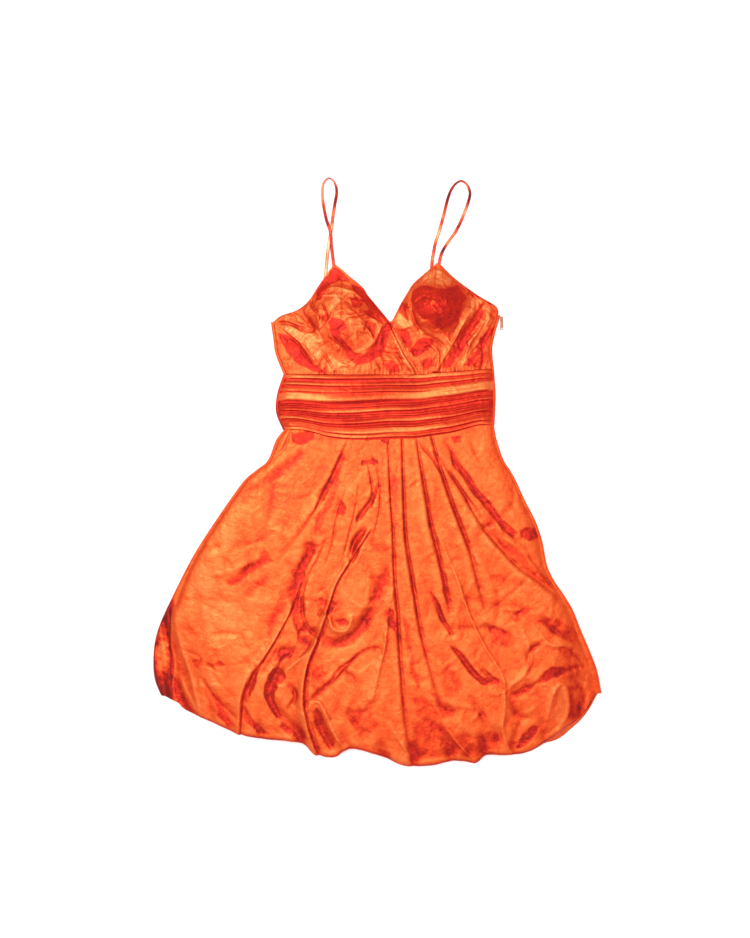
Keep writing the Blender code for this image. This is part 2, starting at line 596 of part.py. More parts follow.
def joined(name, shapes, holes, material, origin):
    """One closed body from overlapping solids, less its holes."""
    whole, *rest = [add_object(f"{name}_{number}", points * MM, faces, material)
                    for number, (points, faces) in enumerate(shapes + holes)]
    for number, other in enumerate(rest, 1):
        change = whole.modifiers.new("join", "BOOLEAN")
        change.operation = "UNION" if number < len(shapes) else "DIFFERENCE"
        change.solver = "EXACT"
        change.object = other
    shape = bpy.data.meshes.new_from_object(
        whole.evaluated_get(bpy.context.evaluated_depsgraph_get()))
    for thing in [whole] + rest:
        bpy.data.objects.remove(thing)
    place = np.array(origin) * MM
    points = [np.array(vertex.co) for vertex in shape.vertices]
    faces = [tuple(face.vertices) for face in shape.polygons]
    bpy.data.meshes.remove(shape)
    return add_object(name, points, faces, material, place)


def slider_solids(floor):
    """Plate beside the seam, with two posts and a bar that make its bridge."""
    wide, long, thick = SLIDER_SIZE
    x = (ZIP_X - BRIDGE_WIDTH / 2, ZIP_X + BRIDGE_WIDTH / 2)
    near, far = TUNNEL_LENGTH / 2, TUNNEL_LENGTH / 2 + BRIDGE_POST
    roof = floor + TUNNEL_HEIGHT
    overlap = BRIDGE_TOP / 3
    plate = block((ZIP_X - wide / 2, ZIP_X + wide / 2), (ZIP_Y - long / 2, ZIP_Y + long / 2),
                  (floor - thick, floor))
    post_z = (floor - overlap, roof + overlap)
    return [plate, block(x, (ZIP_Y - far, ZIP_Y - near), post_z),
            block(x, (ZIP_Y + near, ZIP_Y + far), post_z),
            block(x, (ZIP_Y - far, ZIP_Y + far), (roof, roof + BRIDGE_TOP))]


def pull_solids(axle):
    """Crossbar in the tunnel, a leg on each side of the bridge, and the teardrop plate."""
    z = (axle - PULL_BAR / 2, axle + PULL_BAR / 2)
    inner = BRIDGE_WIDTH / 2 + PULL_CLEAR
    outer = inner + PULL_LEG
    top = ZIP_Y - PULL_SLOT
    rod_y = (ZIP_Y - PULL_BAR / 2, ZIP_Y + PULL_BAR / 2)
    leg_y = (top - PULL_LEG, ZIP_Y + PULL_BAR / 2)
    half = PULL_WIDTH / 2
    centre = ZIP_Y - PULL_LENGTH + half
    turn = [math.pi * step / ROUND_STEPS for step in range(ROUND_STEPS + 1)]
    drop = [(ZIP_X - half * math.cos(a), centre - half * math.sin(a)) for a in turn]
    drop += [(ZIP_X + outer, top), (ZIP_X - outer, top)]
    ring = [(ZIP_X + PULL_HOLE * math.cos(2 * a), centre + PULL_HOLE * math.sin(2 * a))
            for a in turn[:-1]]
    solids = [block((ZIP_X - outer, ZIP_X + outer), rod_y, z),
              block((ZIP_X - outer, ZIP_X - inner), leg_y, z),
              block((ZIP_X + inner, ZIP_X + outer), leg_y, z), prism(drop, *z)]
    return solids, [prism(ring, z[0] - 1, z[1] + 1)]


def clear_scene():
    for thing in list(bpy.data.objects):
        bpy.data.objects.remove(thing)


def add_cloth(name, surface, material, thickness=WALL):
    wall = np.broadcast_to(thickness, surface.shape[:2])
    add_object(name, *cloth_wall(surface, wall), material)


def build():
    clear_scene()
    skirt_satin = cloth_material("skirt_satin", (0.86, 0.12, 0.03), 0.38, 0.25)
    bodice_satin = cloth_material("bodice_satin", (0.84, 0.11, 0.03), 0.36, 0.25)
    band_satin = cloth_material("band_satin", (0.82, 0.10, 0.03), 0.36, 0.25)
    strap_satin = cloth_material("strap_satin", (0.85, 0.13, 0.04), 0.38, 0.25)
    zip_metal = cloth_material("zip_metal", (0.80, 0.16, 0.06), 0.35, 0.3)

    add_cloth("skirt_front", skirt_front_surface(), skirt_satin)
    add_cloth("skirt_back", back_surface((SKIRT_RIM_LEFT, SKIRT_RIM_RIGHT),
                                         (SKIRT_SEAM_LEFT, SKIRT_SEAM_RIGHT),
                                         WAIST, HEM_BACK), skirt_satin)
    band, band_wall = band_front_surface()
    add_cloth("band_front", trimmed(band, BAND_TOP_GAP, WAIST_GAP), band_satin, band_wall)
    band_back = back_surface((BAND_RIM_LEFT, BAND_RIM_RIGHT), (BAND_SEAM_LEFT, BAND_SEAM_RIGHT),
                             BAND_TOP, WAIST, BAND_BACK_ROWS)
    add_cloth("band_back", trimmed(band_back, BAND_TOP_GAP, WAIST_GAP), band_satin)
    add_cloth("bodice_front_left", bodice_front_surface(True), bodice_satin)
    add_cloth("bodice_front_right", bodice_front_surface(False), bodice_satin)
    add_cloth("bodice_back", back_surface((BODICE_RIM_LEFT, BODICE_RIM_RIGHT),
                                          (BODICE_SEAM_LEFT, BODICE_SEAM_RIGHT),
                                          BODICE_BACK_TOP, BAND_TOP, SEAM_ROWS), bodice_satin)
    add_object("strap_left", *strap_mesh(STRAP_LEFT), strap_satin)
    add_object("strap_right", *strap_mesh(STRAP_RIGHT), strap_satin)

    floor = SLIDER_MIDDLE + SLIDER_SIZE[2] / 2
    axle = floor + TUNNEL_HEIGHT / 2
    joined("zip_slider", slider_solids(floor), [], zip_metal, (ZIP_X, ZIP_Y, floor))
    joined("zip_pull", *pull_solids(axle), zip_metal, (ZIP_X, ZIP_Y, axle))


build()
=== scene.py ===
"""Bubble dress in orange satin with thin straps, laid flat on its back.

Lengths in the tables are millimetres, and the meshes are in metres. +X is the
viewer's right, +Y points from the hem to the straps, and +Z points up from
the floor. Columns of a panel run from its top edge to its bottom edge.
"""

import math

import bpy
import numpy as np
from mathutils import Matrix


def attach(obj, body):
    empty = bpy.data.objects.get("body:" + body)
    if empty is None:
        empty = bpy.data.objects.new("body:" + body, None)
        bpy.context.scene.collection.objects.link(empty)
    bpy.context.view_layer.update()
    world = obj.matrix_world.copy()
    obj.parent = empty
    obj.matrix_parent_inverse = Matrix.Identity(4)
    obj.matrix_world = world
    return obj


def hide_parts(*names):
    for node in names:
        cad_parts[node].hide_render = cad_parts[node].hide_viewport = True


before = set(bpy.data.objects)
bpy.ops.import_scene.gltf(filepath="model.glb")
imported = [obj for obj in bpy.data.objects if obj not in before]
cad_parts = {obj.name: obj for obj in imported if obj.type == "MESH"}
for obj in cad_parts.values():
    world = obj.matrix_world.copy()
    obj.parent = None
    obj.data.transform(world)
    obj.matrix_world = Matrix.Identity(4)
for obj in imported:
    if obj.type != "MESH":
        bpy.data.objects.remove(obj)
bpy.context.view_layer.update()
MM = 0.001

# ---------------------------------------------------------------- Studio
# The dress lies on a plain pale floor, seen from straight above. A soft light stands
# to the upper left, a broad one hangs overhead, and the room adds even light.
FLOOR_SIZE = 8.0
FLOOR_DROP = 0.0006        # from the underside of the dress to the floor
CAMERA_HEIGHT = 2.6
SENSOR_WIDTH = 36.0        # of the camera, in its own millimetres
PICTURE_LENGTH = 1.6415    # of the floor, along the picture's long side
PICTURE_MIDDLE = (-0.005, 0.0035)


def soft_light(name, place, size, power):
    """Square soft light that faces the middle of the floor."""
    lamp = bpy.data.lights.new(name, "AREA")
    lamp.shape = "RECTANGLE"
    lamp.size = lamp.size_y = size
    lamp.energy = power
    thing = bpy.data.objects.new(name, lamp)
    thing.location = place
    way = -np.array(place)
    flat = math.hypot(way[0], way[1])
    thing.rotation_euler = (math.atan2(flat, -way[2]), 0, math.atan2(way[1], way[0]) - math.pi / 2)
    bpy.context.scene.collection.objects.link(thing)


lens = bpy.data.cameras.new("camera")
lens.sensor_width = SENSOR_WIDTH
lens.lens = SENSOR_WIDTH * CAMERA_HEIGHT / PICTURE_LENGTH
camera = bpy.data.objects.new("camera", lens)
camera.location = (*PICTURE_MIDDLE, CAMERA_HEIGHT)
bpy.context.scene.collection.objects.link(camera)
bpy.context.scene.camera = camera
bpy.context.scene.view_settings.view_transform = "Standard"

soft_light("key_light", (-0.6, 0.7, 2.5), 0.5, 12)
soft_light("top_light", (-0.15, 0.15, 2.8), 1.9, 22)
room = bpy.data.worlds.new("room")
room.use_nodes = True
sky = room.node_tree.nodes["Background"].inputs
sky["Color"].default_value = (1, 0.97, 0.95, 1)
sky["Strength"].default_value = 0.95
bpy.context.scene.world = room

half = FLOOR_SIZE / 2
corners = [(x * half, y * half, -FLOOR_DROP) for x, y in ((-1, -1), (1, -1), (1, 1), (-1, 1))]
plane = bpy.data.meshes.new("floor")
plane.from_pydata(corners, [], [(0, 1, 2, 3)])
paper = bpy.data.materials.new("floor_paper")
paper.use_nodes = True
for socket, value in (("Base Color", (0.93, 0.93, 0.93, 1)), ("Roughness", 0.9),
                      ("Emission Color", (1, 1, 1, 1)), ("Emission Strength", 0.25)):
    paper.node_tree.nodes["Principled BSDF"].inputs[socket].default_value = value
plane.materials.append(paper)
floor = bpy.data.objects.new("floor", plane)
bpy.context.scene.collection.objects.link(floor)

# ---------------------------------------------------------------- Skirt, front
# The front of the bubble skirt is one wide piece of crisp satin, pleated into the
# band at the waist. Its hem is puffed, gathered onto a shorter hidden hem, and
# turned in, so that it closes in a soft roll with pinches between the puffs.
WAIST = [(-161, 72), (-133, 71), (-110, 66), (-86, 59), (-56, 55), (-19, 54), (33, 56),
         (66, 57), (93, 61), (126, 66), (149, 72), (175, 79), (200, 80)]
SKIRT_SEAM_LEFT = [(-161, 72), (-174, 54), (-188, 19), (-208, 2), (-229, -16), (-255, -51),
                   (-279, -86), (-301, -121), (-321, -156), (-337, -191), (-350, -226),
                   (-361, -256), (-361, -301), (-354, -335), (-358, -375), (-348, -404)]
SKIRT_SEAM_RIGHT = [(200, 80), (204, 54), (216, 19), (227, 2), (237, -16), (252, -51), (270, -86),
                    (281, -121), (289, -165), (301, -191), (317, -216), (332, -243), (345, -278),
                    (359, -313), (371, -348), (378, -388)]
HEM_FRONT = [(-348, -404), (-334, -417), (-285, -439), (-242, -458), (-203, -466), (-154, -471),
             (-128, -477), (-108, -494), (-75, -498), (-56, -486), (-35, -485), (12, -499),
             (47, -513), (91, -513), (135, -504), (170, -508), (189, -495), (222, -495),
             (257, -490), (292, -472), (325, -449), (355, -428), (378, -388)]
# Lines that the columns follow: columns since the line before, points
PLEAT_LINES = [
    (45, [(-105, 64), (-108, 0), (-118, -90), (-135, -184), (-159, -245), (-189, -301),
          (-220, -352), (-238, -408), (-240, -459)]),
    (60, [(-26, 54), (-28, -4), (-38, -86), (-46, -138), (-65, -191), (-93, -252), (-110, -306),
          (-128, -383), (-131, -420), (-121, -480)]),
    (65, [(19, 55), (28, -100), (33, -226), (37, -301), (44, -378), (51, -430), (66, -512)]),
    (25, [(42, 56), (46, -4), (58, -147), (66, -220), (76, -292), (88, -340), (112, -415),
          (128, -505)]),
    (30, [(66, 57), (77, 2), (98, -108), (121, -226), (140, -300), (165, -380), (189, -495)]),
    (30, [(93, 61), (114, 0), (135, -58), (170, -168), (200, -270), (232, -390), (257, -490)]),
    (35, [(114, 64), (126, 37), (161, -19), (214, -98), (258, -160), (300, -240), (327, -330),
          (340, -438)]),
]
LAST_COLUMNS = 30
SKIRT_RISE = [(0, 7.6), (0.15, 9), (0.4, 13), (0.65, 17), (0.85, 21), (1, 22)]
HEM_PINCHES = (-286, -203, -131, -56, 12, 66, 128, 187, 240, 292, 345)
MAIN_ROWS, ROLL_ROWS, TURN_ROWS = 225, 14, 8
PUFF_RADIUS, PUFF_RADIUS_SIDE = 8.6, 2.6
PUFF_PINCH = 0.15          # share of the puff's radius lost in a pinch
PINCH_WIDTH = 9.0
FRONT_TURN, SIDE_TURN = 42.0, 2.0
SIDE_FADE = 70.0           # from a side seam to where the puffs are full
LEAST_HEIGHT = 3.2         # of the front over the floor, in its deepest troughs
LINING_ROLL = 6.45         # height at which the front's turned hem rests on the back's
SIDE_ROUND = 26.0
SIDE_HEIGHT = 5.0

# Folds: kind, half widths at both ends, heights at start, middle and end, points.
# A "left" pleat is a knife fold with its crest to the viewer's left of its line and
# a steep drop on the other side. A "line" is a thin crease, a "soft" fold a
# round ridge, and a "sharp" one a ridge with an edge. A height below 0 is a trough.
# A "cleft" is where two layers meet: a narrow gap with a soft lip on its left.
SKIRT_FOLDS = [
    ("cleft", 2.5, 3.5, (0.8, 1.8, 0.6), [(-55, 46), (-72, 8), (-87, -24), (-107, -65),
                                          (-134, -106), (-154, -132), (-174, -159)]),
    ("soft", 5, 5, (-0.6, -1.4, -0.6), [(-64, 2), (-81, -27), (-96, -45)]),
    ("cleft", 2.5, 4, (0.6, 1.8, 2), [(-91, -121), (-104, -153), (-119, -179), (-130, -208),
                                      (-131, -243), (-122, -272), (-104, -287)]),
    ("soft", 8, 9, (-0.6, -1.6, -1), [(-113, -132), (-134, -185), (-142, -232), (-136, -272),
                                      (-125, -302)]),
    ("left", 5, 8, (1, 2.6, 3), [(-134, -197), (-151, -243), (-166, -272), (-186, -307),
                                 (-206, -337), (-224, -363), (-236, -395), (-240, -450)]),
    ("soft", 4, 5, (-0.8, -2, -1.4), [(1, -27), (-14, -54), (-34, -85)]),
    ("soft", 6, 5, (-1.5, -2.6, -2), [(-26, -103), (-40, -121), (-49, -153)]),
    ("left", 5, 9, (1.5, 3.8, 4.5), [(-17, -109), (-49, -159), (-72, -197), (-87, -243),
                                     (-104, -293), (-122, -340), (-129, -389), (-125, -430),
                                     (-113, -471), (-100, -503)]),
    ("cleft", 2.2, 2.2, (0.6, 1.3, 0.6), [(-17, 13), (-9, -33), (-13, -65)]),
    ("sharp", 6, 6, (1.5, 3.8, 2.5), [(-102, -232), (-87, -252), (-77, -275), (-55, -277),
                                      (-46, -258)]),
    ("soft", 8, 9, (-1.5, -2.8, -1), [(-110, -278), (-84, -303), (-49, -291), (-20, -255),
                                      (4, -197), (20, -162)]),
    ("cleft", 3, 4.5, (0.8, 2, 1.6), [(5, -307), (-23, -314), (-49, -337), (-75, -366), (-99, -386),
                                      (-119, -404)]),
    ("soft", 7, 8, (-1.5, -2.6, -1.8), [(-199, -351), (-183, -326), (-169, -312), (-148, -313),
                                        (-166, -335), (-180, -359), (-188, -389), (-174, -417),
                                        (-154, -436), (-134, -456), (-112, -485)]),
    ("sharp", 7, 7, (2, 3.5, 1.5), [(-161, -347), (-142, -332), (-119, -313), (-103, -295)]),
    ("soft", 6, 7, (-1, -3, -1), [(-206, -331), (-217, -360), (-230, -395), (-229, -424)]),
    ("sharp", 3.5, 3.5, (1.5, 3, 2), [(-119, -459), (-125, -424), (-116, -404), (-102, -402),
                                      (-90, -424), (-72, -462), (-54, -484)]),
    ("soft", 6, 6, (-1.5, -3.2, -2), [(-107, -421), (-96, -453), (-79, -481)]),
    ("line", 3, 3, (-0.5, -0.9, -0.3), [(-294, -337), (-317, -320), (-349, -307)]),
    ("line", 3, 3, (-0.5, -0.9, -0.3), [(-294, -337), (-306, -353), (-323, -374)]),
    ("line", 3, 3, (-0.5, -0.9, -0.3), [(-294, -337), (-274, -318), (-250, -302)]),
    ("line", 3, 3, (-0.5, -0.9, -0.3), [(-294, -337), (-259, -337), (-224, -332)]),
    ("line", 3, 3, (-0.5, -0.9, -0.3), [(-294, -337), (-285, -316), (-279, -296)]),
    ("line", 3, 3, (-0.5, -0.8, -0.3), [(-294, -337), (-279, -363), (-253, -389)]),
    ("sharp", 4, 4.5, (1, 2.8, 1.5), [(-346, -202), (-352, -255), (-343, -302), (-326, -355),
                                      (-310, -421)]),
    ("soft", 5, 6, (-1, -3.8, -3), [(-357, -214), (-362, -261), (-356, -307), (-352, -360),
                                    (-341, -401)]),
    ("line", 4, 5, (-0.8, -1.8, -1), [(-303, -363), (-282, -395), (-246, -429)]),
    ("cleft", 2.5, 2.5, (1.5, 2, 0.8), [(-151, 71), (-166, 38), (-194, 13), (-224, -13)]),
    ("line", 2.5, 3, (-0.5, -1.4, -0.6), [(-55, -33), (-71, -80), (-79, -127), (-91, -162)]),
    ("line", 2.5, 3, (-0.5, -1.3, -0.6), [(-33, -27), (-42, -80), (-66, -173)]),
    ("soft", 4, 4, (-1, -2.4, -1), [(-154, -372), (-142, -389), (-154, -412)]),
    ("soft", 7, 7, (-0.6, -1.8, -0.8), [(-72, -337), (-49, -360), (-26, -372)]),
    ("soft", 6, 6, (-0.6, -1.6, -0.6), [(-37, -395), (-49, -424), (-26, -453)]),
    ("cleft", 2.2, 3.5, (0.8, 2.4, 1.8), [(18, 55), (23, -45), (27, -103), (30, -191), (36, -255),
                                          (38, -302), (43, -372), (50, -442), (62, -512)]),
    ("cleft", 2.4, 4, (1.2, 3, 0.8), [(43, 59), (46, -45), (50, -121), (61, -191), (71, -255),
                                      (82, -307), (97, -360), (111, -412)]),
    ("cleft", 2.4, 4.5, (1, 3.4, 1.2), [(68, 57), (74, 19), (85, -45), (94, -97), (106, -144),
                                        (117, -191), (126, -243)]),
    ("cleft", 2.5, 4, (1.5, 3.2, 1), [(94, 60), (111, 2), (126, -45), (146, -97), (161, -138),
                                      (173, -185), (187, -237)]),
    ("line", 3, 3, (-1, -1.8, -0.8), [(74, 46), (97, 19), (112, -5)]),
    ("soft", 5, 7, (-0.8, -1.5, -1), [(119, 52), (139, 13), (161, -16), (190, -58), (219, -94),
                                      (240, -115), (261, -134)]),
    ("soft", 5, 5, (-1.5, -2.8, -1), [(266, -150), (289, -179), (310, -209)]),
    ("cleft", 3, 5, (1, 2.8, 1.5), [(111, 19), (144, -30), (167, -71), (190, -106), (219, -139),
                                    (248, -169), (289, -198), (330, -234), (349, -262)]),
    ("line", 2.5, 3, (-0.8, -1.5, -0.8), [(126, -4), (155, -45), (178, -75), (199, -109),
                                          (215, -128)]),
    ("sharp", 4, 4, (1.5, 3.2, 1.5), [(276, -115), (288, -130), (293, -157)]),
    ("line", 3, 3, (-0.3, -1, -0.4), [(187, -248), (225, -220), (266, -185), (281, -176)]),
    ("soft", 3.5, 4, (-0.8, -1.8, -0.6), [(94, -213), (110, -252), (130, -286)]),
    ("soft", 4, 4, (-0.6, -2, -1), [(128, -303), (158, -341), (184, -367), (206, -366)]),
    ("soft", 3, 3, (-1, -2.2, -1), [(178, -340), (196, -358), (209, -365)]),
    ("sharp", 3, 3.5, (0.8, 2, 1.6), [(106, -114), (117, -139), (139, -191), (161, -255),
                                      (184, -302), (206, -337), (220, -367)]),
    ("sharp", 3.5, 4, (1.6, 2, 1), [(220, -367), (220, -412), (217, -453), (231, -489)]),
    ("sharp", 3, 4, (1, 2.4, 1.6), [(24, -214), (18, -243), (12, -302), (1, -348), (-10, -395)]),
    ("sharp", 5, 5, (1, 2.8, 1.5), [(250, -272), (261, -302), (265, -331), (251, -357),
                                    (231, -372)]),
    ("soft", 4, 4, (-2, -3.4, -1.5), [(279, -303), (265, -313), (262, -338)]),
    ("line", 3.5, 3.5, (-1.5, -2.4, -1), [(336, -344), (359, -340), (379, -351)]),
    ("soft", 4, 4, (-1, -2.8, -1.5), [(339, -318), (351, -325), (360, -339)]),
    ("sharp", 5, 5, (1.5, 2.8, 1.5), [(294, -430), (304, -389), (320, -370), (331, -395),
                                      (329, -424), (313, -449)]),
    ("cleft", 3.5, 3.5, (1.5, 3.2, 2), [(300, -469), (330, -454), (359, -432), (379, -412)]),
    ("cleft", 2.5, 2.5, (1, 2.4, 1), [(321, -458), (342, -444), (359, -442)]),
    ("sharp", 5, 5, (1, 2.8, 2), [(116, -442), (135, -468), (155, -489), (174, -507)]),
    ("sharp", 5, 5, (0.8, 2, 1), [(20, -440), (36, -465), (55, -493)]),
    ("soft", 5, 5, (-0.8, -1.8, -0.8), [(190, -272), (211, -278), (231, -285), (237, -300)]),
    ("soft", 4, 4, (-0.8, -1.8, -0.8), [(220, -246), (237, -249), (252, -246)]),
    ("soft", 8, 8, (-0.6, -1.4, -0.8), [(208, 37), (231, -4), (248, -39)]),
    ("soft", 6, 6, (-0.8, -2.2, -0.8), [(161, -395), (178, -418), (196, -453)]),
    ("soft", 6, 6, (-0.8, -2.2, -0.8), [(231, -395), (243, -424), (266, -430)]),
    ("soft", 5, 5, (-0.8, -2, -0.8), [(289, -255), (307, -278), (336, -290)]),
    ("soft", 6, 6, (-1, -2.4, -1), [(342, -360), (359, -383), (359, -418)]),
    ("sharp", 5, 5, (1, 2.4, 1), [(278, -278), (301, -302), (336, -302)]),
    ("line", 2.5, 2.5, (-1.2, -1.6, -0.6), [(264, -52), (256, -57), (250, -60)]),
    ("line", 2.5, 2.5, (-1.2, -1.8, -0.6), [(270, -64), (261, -67), (256, -72)]),
    ("line", 2.5, 2.5, (-1.2, -1.8, -0.6), [(274, -75), (267, -78), (261, -81)]),
    ("line", 2.5, 2.5, (-1.2, -1.6, -0.6), [(278, -86), (271, -89), (265, -94)]),
    ("line", 3, 3, (-0.8, -1.6, -0.8), [(161, 54), (168, 37), (178, 16)]),
    ("line", 2.5, 3, (-0.6, -1.4, -0.6), [(-1, 13), (4, -57), (-8, -121)]),
    ("sharp", 3, 3, (1, 2.5, 1.5), [(314, -460), (342, -445), (368, -422), (386, -396)]),
    ("soft", 3, 3, (-1, -2.6, -1.2), [(306, -468), (336, -454), (365, -433), (384, -408)]),
    ("sharp", 3, 3.5, (0.8, 2.2, 1), [(-350, -337), (-338, -374), (-317, -415)]),
]
